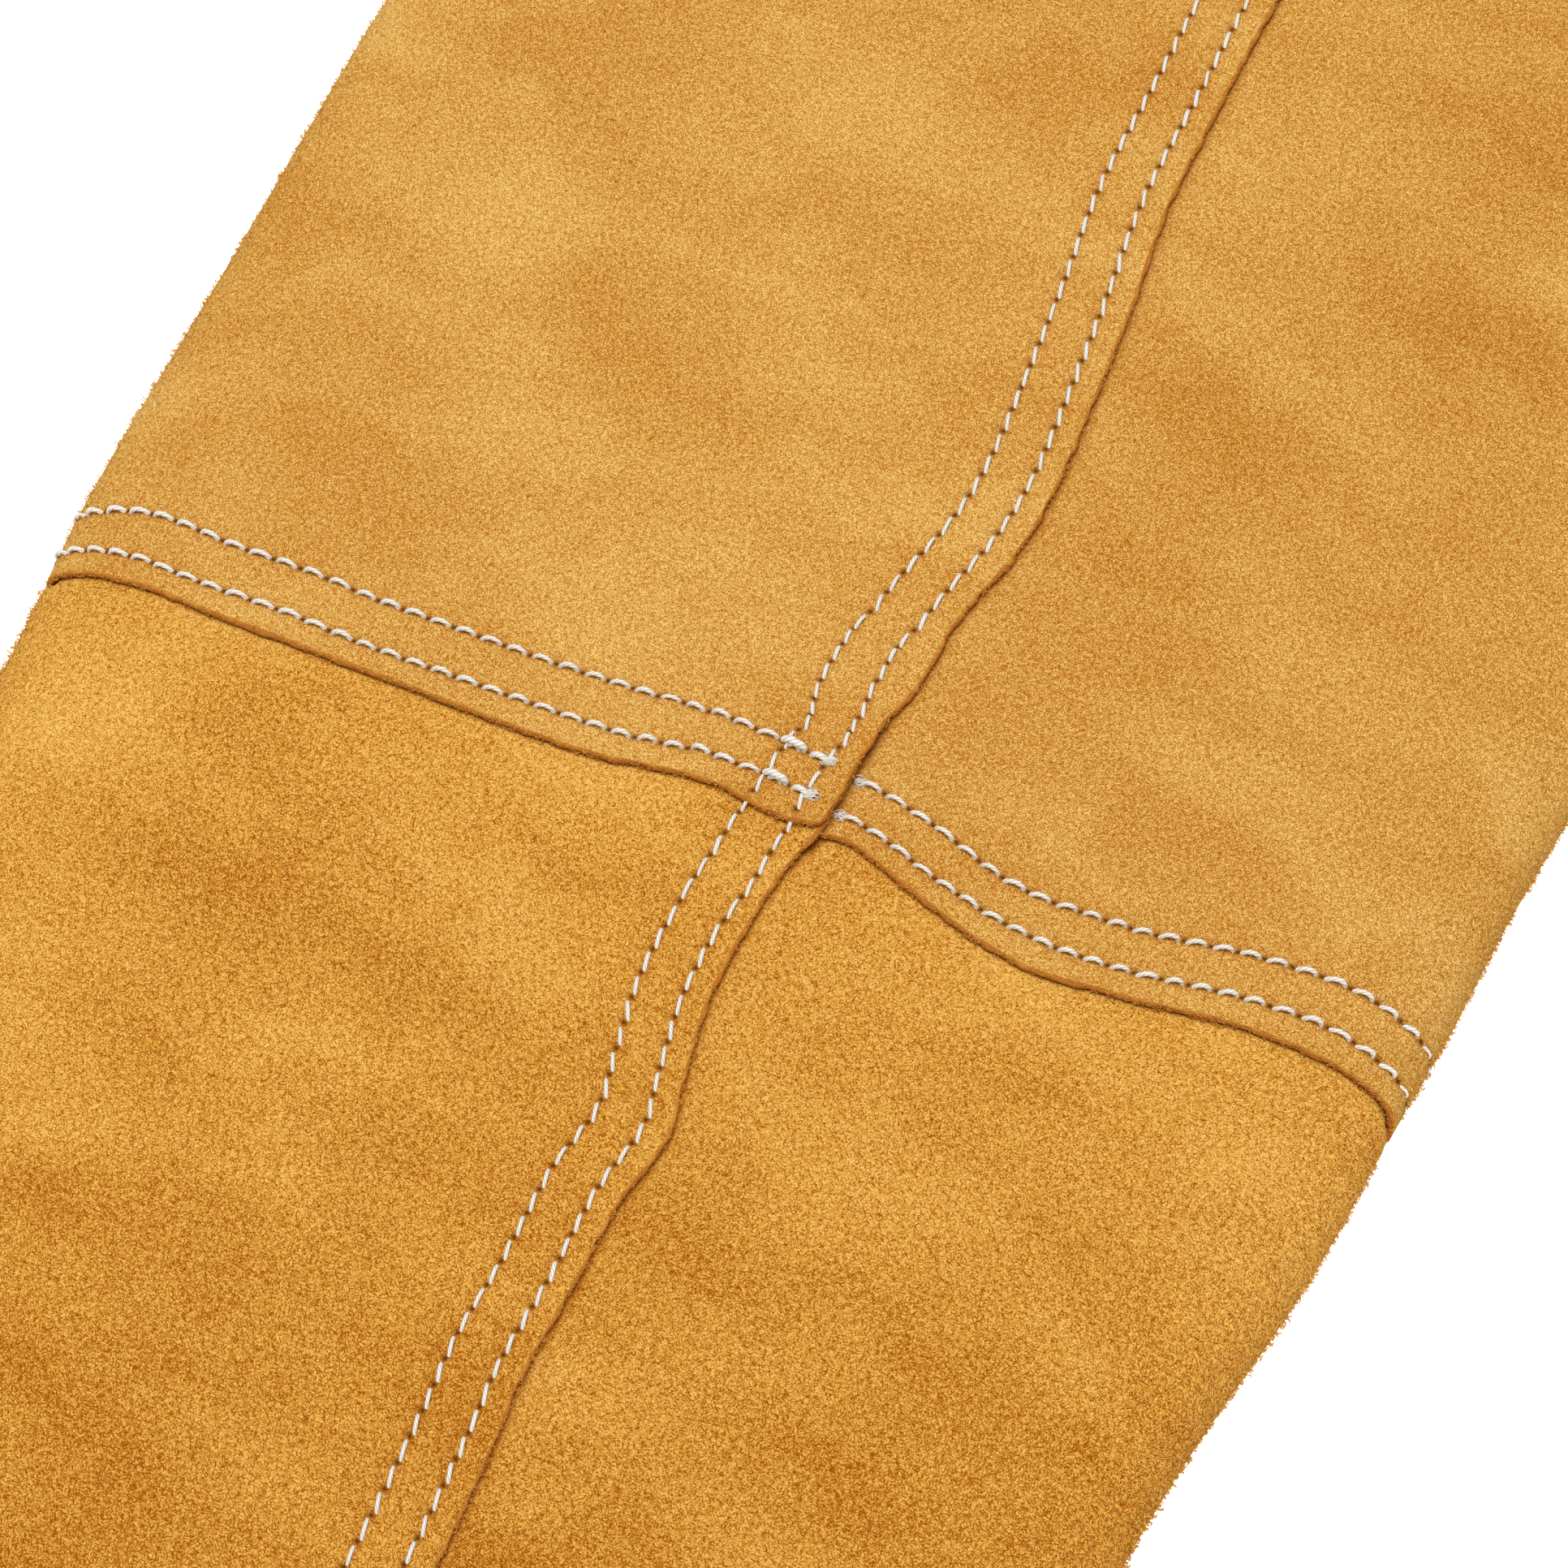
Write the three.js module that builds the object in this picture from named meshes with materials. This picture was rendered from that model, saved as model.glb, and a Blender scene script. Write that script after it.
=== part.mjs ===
import * as THREE from "three";

// Sizes in millimetres. The sleeve lies on the floor, wrist at -Y, upper arm at +Y, lengthwise seam on top.
const SLEEVE_LENGTH = 550;
const WRIST_TO_SEAM = 268;
const WRIST_WIDTH = 165;
const SEAM_WIDTH = 198;
const ARM_WIDTH = 222;
const WRIST_HEIGHT = 32;
const SEAM_HEIGHT = 36;
const ARM_HEIGHT = 42;
const LEATHER_THICKNESS = 1.3;
const PLY_GAP = 0.3;
const LAP_WIDTH = 14;
const LAP_RAMP = 8;
const RAMP_CLEARANCE = 1;
const HEM_DEPTH = 15;
const HEM_STEP = 1.5;
const FLOOR_BLEND = 6;

// Shares of the section: where the sides stand upright, how much of the width lies flat, and how full the
// curves are.
const SIDE_HEIGHT_SHARE = 0.42;
const FLAT_WIDTH_SHARE = 0.74;
const TOP_FULLNESS = 2.25;
const CORNER_FULLNESS = 2.2;
const TOP_TUCK = 0.5;

const PLY = LEATHER_THICKNESS + PLY_GAP;
const WRIST_Y = -SLEEVE_LENGTH / 2;
const ARM_Y = SLEEVE_LENGTH / 2;
const SEAM_Y = WRIST_Y + WRIST_TO_SEAM;

// The lengthwise cut edge. along: share of the length from the wrist, across: share of the seam width from
// the middle of the top.
const LENGTHWISE_EDGE = [
  { along: 0.0, across: 0.133 },
  { along: 0.1, across: 0.135 },
  { along: 0.19, across: 0.136 },
  { along: 0.24, across: 0.133 },
  { along: 0.273, across: 0.132 },
  { along: 0.304, across: 0.125 },
  { along: 0.324, across: 0.118 },
  { along: 0.347, across: 0.117 },
  { along: 0.373, across: 0.114 },
  { along: 0.393, across: 0.119 },
  { along: 0.407, across: 0.110 },
  { along: 0.427, across: 0.097 },
  { along: 0.444, across: 0.093 },
  { along: 0.467, across: 0.094 },
  { along: 0.485, across: 0.103 },
  { along: 0.5, across: 0.103 },
  { along: 0.518, across: 0.104 },
  { along: 0.531, across: 0.109 },
  { along: 0.551, across: 0.109 },
  { along: 0.575, across: 0.120 },
  { along: 0.595, across: 0.121 },
  { along: 0.627, across: 0.112 },
  { along: 0.653, across: 0.103 },
  { along: 0.685, across: 0.089 },
  { along: 0.716, across: 0.084 },
  { along: 0.758, across: 0.079 },
  { along: 0.85, across: 0.075 },
  { along: 1.0, across: 0.077 },
];

// The crosswise cut edge. round: share of the girth from the middle of the top, drift: share of the seam
// width.
const CROSSWISE_EDGE = [
  { round: 0.0, drift: -0.0117 },
  { round: 0.017, drift: -0.0146 },
  { round: 0.038, drift: -0.0177 },
  { round: 0.049, drift: -0.0111 },
  { round: 0.0545, drift: -0.0075 },
  { round: 0.0616, drift: -0.0086 },
  { round: 0.0748, drift: -0.016 },
  { round: 0.0935, drift: -0.0263 },
  { round: 0.108, drift: -0.0326 },
  { round: 0.122, drift: -0.0356 },
  { round: 0.132, drift: -0.0352 },
  { round: 0.147, drift: -0.028 },
  { round: 0.165, drift: -0.0189 },
  { round: 0.182, drift: -0.0076 },
  { round: 0.194, drift: -0.0015 },
  { round: 0.2175, drift: 0.0076 },
  { round: 0.232, drift: 0.0092 },
  { round: 0.245, drift: 0.0055 },
  { round: 0.3, drift: 0.004 },
  { round: 0.4, drift: -0.004 },
  { round: 0.5, drift: -0.008 },
  { round: 0.6, drift: -0.003 },
  { round: 0.7, drift: 0.003 },
  { round: 0.755, drift: -0.0025 },
  { round: 0.776, drift: -0.0028 },
  { round: 0.785, drift: -0.003 },
  { round: 0.812, drift: -0.0083 },
  { round: 0.833, drift: -0.0155 },
  { round: 0.865, drift: -0.0203 },
  { round: 0.91, drift: -0.0233 },
  { round: 0.9525, drift: -0.0243 },
  { round: 0.9795, drift: -0.0205 },
  { round: 0.9886, drift: -0.0152 },
];

// Soft dents and swells. along, round: place; length: share of the sleeve; width: share of the girth;
// depth: share of the seam height, inwards.
const DENTS = [
  { along: 0.42, round: 0.1, length: 0.07, width: 0.09, depth: 0.04 },
  { along: 0.6, round: 0.14, length: 0.09, width: 0.08, depth: 0.05 },
  { along: 0.72, round: 0.06, length: 0.1, width: 0.07, depth: -0.04 },
  { along: 0.58, round: 0.9, length: 0.08, width: 0.09, depth: 0.04 },
  { along: 0.38, round: 0.86, length: 0.1, width: 0.08, depth: 0.05 },
  { along: 0.28, round: 0.95, length: 0.08, width: 0.1, depth: -0.05 },
  { along: 0.2, round: 0.1, length: 0.1, width: 0.1, depth: 0.07 },
  { along: 0.82, round: 0.88, length: 0.09, width: 0.1, depth: 0.07 },
  { along: 0.86, round: 0.13, length: 0.08, width: 0.1, depth: 0.06 },
  { along: 0.1, round: 0.88, length: 0.08, width: 0.1, depth: 0.06 },
  { along: 0.45, round: 0.238, length: 0.05, width: 0.05, depth: -0.07 },
  { along: 0.45, round: 0.765, length: 0.045, width: 0.05, depth: 0.08 },
  { along: 0.32, round: 0.235, length: 0.06, width: 0.05, depth: -0.05 },
  { along: 0.52, round: 0.238, length: 0.03, width: 0.05, depth: -0.03 },
  { along: 0.12, round: 0.77, length: 0.07, width: 0.06, depth: 0.05 },
  { along: 0.88, round: 0.765, length: 0.06, width: 0.06, depth: 0.05 },
  { along: 0.68, round: 0.765, length: 0.07, width: 0.05, depth: -0.03 },
  { along: 0.9, round: 0.23, length: 0.06, width: 0.06, depth: -0.05 },
];

// Facet columns as shares of the girth between the two laps: close together where the sides turn.
const COLUMN_SHARES = [
  0.015, 0.03, 0.045, 0.06, 0.075, 0.09, 0.105, 0.12, 0.145, 0.165, 0.18, 0.193, 0.205, 0.217, 0.229,
  0.242, 0.257, 0.275, 0.3, 0.34, 0.385, 0.43, 0.475, 0.52, 0.56, 0.595, 0.622, 0.64, 0.655, 0.668, 0.68,
  0.692, 0.704, 0.718, 0.735, 0.755, 0.78, 0.81, 0.84, 0.865, 0.89, 0.91, 0.93, 0.95, 0.97, 0.985,
];
const SEAM_ROWS = 2;
const RAMP_ROWS = 3;
const UPPER_ROWS = 12;
const LOWER_ROWS = 12;
const SECTION_STEPS = 60;

function smooth(x) {
  const s = Math.min(Math.max(x, 0), 1);
  return s * s * (3 - 2 * s);
}

// A smooth curve through a table's rows; period wraps the table round on itself.
function curve(table, key, value, x, period) {
  const count = table.length;
  const at = (i) => {
    if (!period) return table[Math.min(Math.max(i, 0), count - 1)];
    return table[((i % count) + count) % count];
  };
  const turns = (i) => (period ? Math.floor(i / count) * period : 0);
  const place = (i) => at(i)[key] + turns(i);
  const wrapped = period ? x - Math.floor(x / period) * period : x;
  let i = 0;
  while (i < count - (period ? 0 : 2) && place(i + 1) < wrapped) i += 1;
  const span = place(i + 1) - place(i);
  const s = Math.min(Math.max((wrapped - place(i)) / span, 0), 1);
  const slope = (k) => {
    const run = place(k + 1) - place(k - 1);
    return run > 0 ? ((at(k + 1)[value] - at(k - 1)[value]) / run) * span : 0;
  };
  const s2 = s * s;
  const s3 = s2 * s;
  return (
    (2 * s3 - 3 * s2 + 1) * at(i)[value] +
    (s3 - 2 * s2 + s) * slope(i) +
    (3 * s2 - 2 * s3) * at(i + 1)[value] +
    (s3 - s2) * slope(i + 1)
  );
}

// The value at y of a size that is given at the wrist, at the crosswise seam and at the upper arm.
function taper(wrist, seam, arm, y) {
  const s = (y - WRIST_Y) / SLEEVE_LENGTH;
  const m = WRIST_TO_SEAM / SLEEVE_LENGTH;
  return (
    (wrist * (s - m) * (s - 1)) / m +
    (seam * s * (s - 1)) / (m * (m - 1)) +
    (arm * s * (s - m)) / (1 - m)
  );
}

// The bare section at y: a closed outline, clockwise from the middle of the top, with its running length.
function makeSection(y) {
  const half = taper(WRIST_WIDTH, SEAM_WIDTH, ARM_WIDTH, y) / 2;
  const height = taper(WRIST_HEIGHT, SEAM_HEIGHT, ARM_HEIGHT, y);
  const side = SIDE_HEIGHT_SHARE * height;
  const flat = FLAT_WIDTH_SHARE * half;
  const right = [];
  for (let i = 0; i <= SECTION_STEPS; i += 1) {
    const a = (Math.PI / 2) * (i / SECTION_STEPS);
    const x = half * Math.sin(a) ** (2 / TOP_FULLNESS);
    const z = side + (height - side) * Math.abs(Math.cos(a)) ** (2 / TOP_FULLNESS);
    right.push([x, z]);
  }
  for (let i = 1; i <= SECTION_STEPS; i += 1) {
    const a = (Math.PI / 2) * (i / SECTION_STEPS);
    const x = flat + (half - flat) * Math.abs(Math.cos(a)) ** (2 / CORNER_FULLNESS);
    const z = side - side * Math.sin(a) ** (2 / CORNER_FULLNESS);
    right.push([x, z]);
  }
  right.push([0, 0]);
  const left = right.slice(0, -1).reverse().map(([x, z]) => [-x, z]);
  const points = right.concat(left);
  const run = [0];
  for (let i = 1; i < points.length; i += 1) {
    const step = Math.hypot(points[i][0] - points[i - 1][0], points[i][1] - points[i - 1][1]);
    run.push(run[i - 1] + step);
  }
  return { points, run, girth: run[run.length - 1] };
}

const sections = new Map();
function sectionAt(y) {
  const key = Math.round(y * 1000);
  if (!sections.has(key)) sections.set(key, makeSection(y));
  return sections.get(key);
}

function along(section, length) {
  const { points, run, girth } = section;
  const place = length - Math.floor(length / girth) * girth;
  let low = 0;
  let high = run.length - 1;
  while (high - low > 1) {
    const middle = (low + high) >> 1;
    if (run[middle] <= place) low = middle;
    else high = middle;
  }
  const s = (place - run[low]) / (run[high] - run[low]);
  return [
    points[low][0] + s * (points[high][0] - points[low][0]),
    points[low][1] + s * (points[high][1] - points[low][1]),
  ];
}

// How far round the girth the lengthwise cut edge lies at y.
function edgeLength(y) {
  return SEAM_WIDTH * curve(LENGTHWISE_EDGE, "along", "across", (y - WRIST_Y) / SLEEVE_LENGTH, 0);
}

// How much of the floor a point at height z belongs to: 1 lying on it, 0 well above.
function floorShare(z) {
  return 1 - smooth(z / FLOOR_BLEND);
}

// How far the forearm panel tucks in under the crosswise lap: all the way at the sides and below, less on
// top.
function tuckShare(y, z) {
  const height = taper(WRIST_HEIGHT, SEAM_HEIGHT, ARM_HEIGHT, y);
  return 1 - (1 - TOP_TUCK) * smooth((z / height - 0.6) / 0.35);
}

function dentDepth(y, round) {
  const place = (y - WRIST_Y) / SLEEVE_LENGTH;
  let depth = 0;
  for (const dent of DENTS) {
    const away = round - dent.round - Math.round(round - dent.round);
    const reach = ((place - dent.along) / dent.length) ** 2 + (away / dent.width) ** 2;
    depth += dent.depth * SEAM_HEIGHT * Math.exp(-reach);
  }
  return depth;
}

// The outer face of the bare form, t millimetres clockwise of the lengthwise cut edge.
function barePoint(t, y) {
  const section = sectionAt(y);
  const place = edgeLength(y) + t;
  const [x, z] = along(section, place);
  const before = along(section, place - 1);
  const after = along(section, place + 1);
  const run = Math.hypot(after[0] - before[0], after[1] - before[1]);
  const depth = dentDepth(y, place / section.girth) * (1 - floorShare(z));
  const out = [-(after[1] - before[1]) / run, (after[0] - before[0]) / run];
  return new THREE.Vector3(x - out[0] * depth, y, Math.max(z - out[1] * depth, 0));
}

function outward(t, y) {
  const step = 0.8;
  const around = barePoint(t + step, y).sub(barePoint(t - step, y));
  const lengthwise = barePoint(t, y + step).sub(barePoint(t, y - step));
  return around.cross(lengthwise).normalize();
}

// The columns of a panel: at(y) gives how far round the column lies, in millimetres from the cut edge.
function makeColumns() {
  const columns = [];
  const wait = LAP_WIDTH + RAMP_CLEARANCE;
  for (let i = 0; i <= SEAM_ROWS; i += 1) {
    const t = -LAP_WIDTH * (1 - i / SEAM_ROWS);
    columns.push(() => t);
  }
  for (const share of COLUMN_SHARES) {
    columns.push((girth) => share * (girth - wait - LAP_RAMP));
  }
  for (let i = 0; i <= RAMP_ROWS; i += 1) {
    const back = wait + LAP_RAMP * (1 - i / RAMP_ROWS);
    columns.push((girth) => girth - back);
  }
  for (let i = 0; i <= SEAM_ROWS; i += 1) {
    const back = LAP_WIDTH * (1 - i / SEAM_ROWS);
    columns.push((girth) => girth - back);
  }
  return columns;
}

// Where the crosswise cut edge lies for a column.
function crosswiseEdge(column) {
  const { girth } = sectionAt(SEAM_Y);
  const round = (edgeLength(SEAM_Y) + column(girth)) / girth;
  return SEAM_Y + SEAM_WIDTH * curve(CROSSWISE_EDGE, "round", "drift", round, 1);
}

// The share of the extra layer under the left side of the lengthwise lap.
function lapShare(t, girth) {
  return smooth((t - (girth - LAP_WIDTH - RAMP_CLEARANCE - LAP_RAMP)) / LAP_RAMP);
}

function upperLift(t, fromEdge, girth, tuck) {
  const cross = 1 - smooth((fromEdge - LAP_WIDTH - RAMP_CLEARANCE) / LAP_RAMP);
  const lap = lapShare(t, girth);
  return PLY * (cross * (1 - tuck) + lap * (1 + cross));
}

function lowerLift(t, fromEdge, girth, tuck) {
  const cross = smooth((fromEdge + RAMP_CLEARANCE + LAP_RAMP) / LAP_RAMP);
  const lap = lapShare(t, girth);
  return PLY * (lap * (1 + cross) - cross * tuck);
}

// A closed sheet of leather from a grid of places. rows: functions from the cut edge's y to the row's y.
function makeSheet(name, columns, rows, lift, material) {
  const outer = [];
  const inner = [];
  for (const row of rows) {
    for (const column of columns) {
      const edgeY = crosswiseEdge(column);
      const y = row(edgeY);
      const { girth } = sectionAt(y);
      const t = column(girth);
      const point = barePoint(t, y);
      const normal = outward(t, y);
      const up = lift(t, y - edgeY, girth, tuckShare(y, point.z));
      const hem = smooth((Math.abs(y) - (ARM_Y - HEM_DEPTH - HEM_STEP)) / HEM_STEP);
      const face = point.clone().addScaledVector(normal, up);
      outer.push(face);
      inner.push(face.clone().addScaledVector(normal, -LEATHER_THICKNESS * (1 + hem)));
    }
  }
  const wide = columns.length;
  const tall = rows.length;
  const positions = [];
  for (const p of outer.concat(inner)) positions.push(p.x, p.y, p.z);
  const index = [];
  const back = wide * tall;
  const quad = (a, b, c, d) => index.push(a, b, c, a, c, d);
  for (let i = 0; i < tall - 1; i += 1) {
    for (let j = 0; j < wide - 1; j += 1) {
      const a = i * wide + j;
      quad(a, a + 1, a + wide + 1, a + wide);
      index.push(back + a, back + a + wide + 1, back + a + 1);
      index.push(back + a, back + a + wide, back + a + wide + 1);
    }
  }
  for (let j = 0; j < wide - 1; j += 1) {
    const top = (tall - 1) * wide + j;
    quad(j, back + j, back + j + 1, j + 1);
    quad(top, top + 1, back + top + 1, back + top);
  }
  for (let i = 0; i < tall - 1; i += 1) {
    const a = i * wide;
    const b = a + wide - 1;
    quad(a, a + wide, back + a + wide, back + a);
    quad(b, back + b, back + b + wide, b + wide);
  }
  const geometry = new THREE.BufferGeometry();
  geometry.setAttribute("position", new THREE.Float32BufferAttribute(positions, 3));
  geometry.setIndex(index);
  geometry.computeVertexNormals();
  const mesh = new THREE.Mesh(geometry, material);
  mesh.name = name;
  return mesh;
}

// Rows from the crosswise seam out to an end: the lap itself, the ramp beyond it, the open stretch, the hem.
function upperRows() {
  const rows = [];
  for (let i = 0; i <= SEAM_ROWS; i += 1) {
    rows.push((edge) => edge + (LAP_WIDTH * i) / SEAM_ROWS);
  }
  const wait = LAP_WIDTH + RAMP_CLEARANCE;
  for (let i = 0; i <= RAMP_ROWS; i += 1) {
    rows.push((edge) => edge + wait + (LAP_RAMP * i) / RAMP_ROWS);
  }
  const hemY = ARM_Y - HEM_DEPTH - HEM_STEP;
  for (let i = 1; i <= UPPER_ROWS; i += 1) {
    rows.push((edge) => THREE.MathUtils.lerp(edge + wait + LAP_RAMP, hemY, i / UPPER_ROWS));
  }
  rows.push(() => ARM_Y - HEM_DEPTH);
  rows.push(() => ARM_Y);
  return rows;
}

function lowerRows() {
  const rows = [() => WRIST_Y, () => WRIST_Y + HEM_DEPTH];
  const hemY = WRIST_Y + HEM_DEPTH + HEM_STEP;
  const reach = RAMP_CLEARANCE + LAP_RAMP;
  for (let i = 0; i < LOWER_ROWS; i += 1) {
    rows.push((edge) => THREE.MathUtils.lerp(hemY, edge - reach, i / LOWER_ROWS));
  }
  for (let i = 0; i <= RAMP_ROWS; i += 1) {
    rows.push((edge) => edge - reach + (LAP_RAMP * i) / RAMP_ROWS);
  }
  for (let i = 0; i <= SEAM_ROWS; i += 1) {
    rows.push((edge) => edge + (LAP_WIDTH * i) / SEAM_ROWS);
  }
  return rows;
}

const suede = new THREE.MeshStandardMaterial({ color: 0xd49c46, roughness: 0.95, name: "golden_suede" });
const columns = makeColumns();
const sleeve = new THREE.Group();
sleeve.name = "welding_sleeve";
sleeve.add(makeSheet("upper_arm_panel", columns, upperRows(), upperLift, suede));
sleeve.add(makeSheet("forearm_panel", columns, lowerRows(), lowerLift, suede));

export default sleeve;
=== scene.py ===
import math
from functools import partial

import bpy
import numpy as np
from mathutils import Matrix, Vector


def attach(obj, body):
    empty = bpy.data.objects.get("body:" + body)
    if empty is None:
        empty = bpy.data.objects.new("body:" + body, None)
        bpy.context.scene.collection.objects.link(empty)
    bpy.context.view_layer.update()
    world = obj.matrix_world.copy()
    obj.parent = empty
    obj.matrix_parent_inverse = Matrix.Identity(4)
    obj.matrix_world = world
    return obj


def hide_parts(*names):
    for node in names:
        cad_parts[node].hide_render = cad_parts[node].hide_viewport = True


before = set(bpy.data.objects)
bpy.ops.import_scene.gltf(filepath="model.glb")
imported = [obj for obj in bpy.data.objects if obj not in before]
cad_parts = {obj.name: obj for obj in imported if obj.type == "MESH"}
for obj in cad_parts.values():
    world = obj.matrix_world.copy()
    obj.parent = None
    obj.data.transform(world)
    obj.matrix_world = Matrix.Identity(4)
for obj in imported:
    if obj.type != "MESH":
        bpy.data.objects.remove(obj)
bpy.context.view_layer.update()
MM = 0.001


# The view: the sleeve lies on a white table and is seen from its wrist side, 55 degrees above the table and
# 26.7 degrees round from its length. A long lens, 0.9 m away, closes in on the place where its seams cross.
ELEVATION = math.radians(55)
AZIMUTH = math.radians(26.7)
DISTANCE = 0.9
PIXELS_PER_MM = 9.6
PICTURE = 1932
SENSOR = 36
CROSSING = Vector((20.3, -8.6, 38.0)) * MM
CROSSING_PIXEL = (1012, 1008)

back = Vector(
    (
        math.sin(AZIMUTH) * math.cos(ELEVATION),
        -math.cos(AZIMUTH) * math.cos(ELEVATION),
        math.sin(ELEVATION),
    )
)
right = Vector((math.cos(AZIMUTH), math.sin(AZIMUTH), 0))
up = back.cross(right)
camera_data = bpy.data.cameras.new("camera")
camera_data.sensor_width = SENSOR
camera_data.lens = SENSOR * PIXELS_PER_MM * DISTANCE / MM / PICTURE
camera_data.clip_start = 0.05
camera_data.clip_end = 20
camera = bpy.data.objects.new("camera", camera_data)
aside = (CROSSING_PIXEL[0] - PICTURE / 2) / PIXELS_PER_MM * MM
below = (CROSSING_PIXEL[1] - PICTURE / 2) / PIXELS_PER_MM * MM
camera.location = CROSSING + back * DISTANCE - right * aside + up * below
turn = Matrix((right, up, back)).transposed()
camera.rotation_euler = turn.to_euler()
bpy.context.scene.collection.objects.link(camera)
bpy.context.scene.camera = camera
bpy.context.scene.view_settings.view_transform = "Standard"
bpy.context.scene.view_settings.look = "None"


# The table top and the light: seamless white paper in a bright, slightly warm room, with one large soft
# light high above it on the wrist side, so that the cut edges throw only narrow shadows.
def linear(code):
    """The linear colour, with alpha, of an sRGB hex colour."""
    values = [int(code[i : i + 2], 16) / 255 for i in (1, 3, 5)]
    return [
        v / 12.92 if v <= 0.04045 else ((v + 0.055) / 1.055) ** 2.4 for v in values
    ] + [1.0]


def add(tree, kind, *values, links=None, out=0, stops=None, **settings):
    """Adds a node and gives its output out. values go into its first inputs and links into those they name,
    each a plain value or another node's output. stops are a ramp's colours, settings its other properties."""
    node = tree.nodes.new(kind)
    for name, value in settings.items():
        setattr(node, name, value)
    for socket, value in [*enumerate(values), *(links or {}).items()]:
        if isinstance(value, bpy.types.NodeSocket):
            tree.links.new(value, node.inputs[socket])
        else:
            node.inputs[socket].default_value = value
    if stops:
        ramp = node.color_ramp.elements
        while len(ramp) < len(stops):
            ramp.new(0.5)
        for element, (place, code) in zip(ramp, stops):
            element.position = place
            element.color = linear(code)
    return node.outputs[out] if node.outputs else None


def finish_material(tree, look):
    """Gives a material's tree its shader, with what look says, and its output."""
    shader = add(tree, "ShaderNodeBsdfPrincipled", links=look)
    add(tree, "ShaderNodeOutputMaterial", shader)


def new_material(name):
    """An empty node material with its output node."""
    material = bpy.data.materials.new(name)
    material.use_nodes = True
    material.node_tree.nodes.clear()
    return material, material.node_tree


# White matt paper that glows a little: to the eye it is plain bright white, with only a faint soft shadow.
TABLE_SIZE = 8.0
TABLE_DROP = 0.4
table_white, tree = new_material("white_paper_sweep")
glow = {"Emission Color": (1, 1, 1, 1), "Emission Strength": 0.85}
finish_material(tree, {"Base Color": linear("#f6f6f5"), "Roughness": 0.9, **glow})
half = TABLE_SIZE / 2
table_mesh = bpy.data.meshes.new("table_top")
table_mesh.from_pydata(
    [(-half, -half, 0), (half, -half, 0), (half, half, 0), (-half, half, 0)],
    [],
    [(0, 1, 2, 3)],
)
table_mesh.materials.append(table_white)
table_top = bpy.data.objects.new("table_top", table_mesh)
table_top.location.z = -TABLE_DROP * MM
bpy.context.scene.collection.objects.link(table_top)

world = bpy.data.worlds.new("white_room")
world.use_nodes = True
room = world.node_tree.nodes["Background"].inputs
room["Color"].default_value = (1, 0.86, 0.64, 1)
room["Strength"].default_value = 0.4
bpy.context.scene.world = world

key_data = bpy.data.lights.new("window_light", "AREA")
key_data.shape = "DISK"
key_data.size = 1.7
key_data.energy = 55
key_data.color = (0.93, 0.98, 1)
key = bpy.data.objects.new("window_light", key_data)
key.location = (0.0, -0.3, 2.4)
key.rotation_euler = (-key.location).to_track_quat("-Z", "Y").to_euler()
bpy.context.scene.collection.objects.link(key)


# The upper-arm panel: one piece of split cowhide, napped on both sides and dyed golden yellow. It is wrapped
# once round the arm and lapped over itself along the top, and its raw lower edge lies over the forearm one.

# Sizes are in millimetres. Three together are for the wrist, the crosswise seam and the upper arm.
LENGTH = 550.0
WRIST_TO_SEAM = 268.0
WIDTHS = (165.0, 198.0, 222.0)
HEIGHTS = (32.0, 36.0, 42.0)
LEATHER = 1.25
PLY = 1.3
LAP = 12.5
RAMP = 11.0
HEM = 15.0
FLOOR_BLEND = 6.0
SIDE_HEIGHT_SHARE = 0.42
FLAT_WIDTH_SHARE = 0.74
TOP_FULLNESS = 2.25
CORNER_FULLNESS = 2.2
# On the top both panels share one ply's step at the crosswise seam. Round the sides the lower takes it all.
TOP_TUCK = 0.5
TOP_FROM = 0.6
TOP_OVER = 0.35
TOP_STEP = 6.0
SIDE_STEP = 2.2
STEP_CLEAR = 0.4
WRIST_Y = -LENGTH / 2
ARM_Y = LENGTH / 2
SEAM_Y = WRIST_Y + WRIST_TO_SEAM

# Share of the length from the wrist, and share of the seam's width from the middle of the top.
LENGTHWISE_EDGE = np.array(
    [
        (0, 0.133), (0.1, 0.135), (0.19, 0.136), (0.24, 0.133), (0.273, 0.132), (0.304, 0.125),
        (0.324, 0.118), (0.347, 0.117), (0.373, 0.114), (0.393, 0.119), (0.407, 0.11), (0.427, 0.097),
        (0.444, 0.093), (0.467, 0.094), (0.485, 0.103), (0.5, 0.103), (0.518, 0.104), (0.531, 0.109),
        (0.551, 0.109), (0.575, 0.12), (0.595, 0.121), (0.627, 0.112), (0.653, 0.103), (0.685, 0.089),
        (0.716, 0.084), (0.758, 0.079), (0.85, 0.075), (1, 0.077),
    ]
)
# Share of the girth from the middle of the top, and drift as a share of the seam's width.
CROSSWISE_EDGE = np.array(
    [
        (0, -0.0117), (0.017, -0.0146), (0.038, -0.0177), (0.049, -0.0111), (0.0545, -0.0075),
        (0.0616, -0.0086), (0.0748, -0.016), (0.0935, -0.0263), (0.108, -0.0326), (0.122, -0.0356),
        (0.132, -0.0352), (0.147, -0.028), (0.165, -0.0189), (0.182, -0.0076), (0.194, -0.0015),
        (0.2175, 0.0076), (0.232, 0.0108), (0.245, 0.0125), (0.3, 0.01), (0.4, -0.004),
        (0.5, -0.008), (0.6, -0.003), (0.7, 0.003), (0.755, -0.0025), (0.776, -0.0028),
        (0.785, -0.003), (0.812, -0.0083), (0.833, -0.0155), (0.865, -0.0203), (0.91, -0.0233),
        (0.9525, -0.0243), (0.9795, -0.0205), (0.9886, -0.0152),
    ]
)
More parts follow.
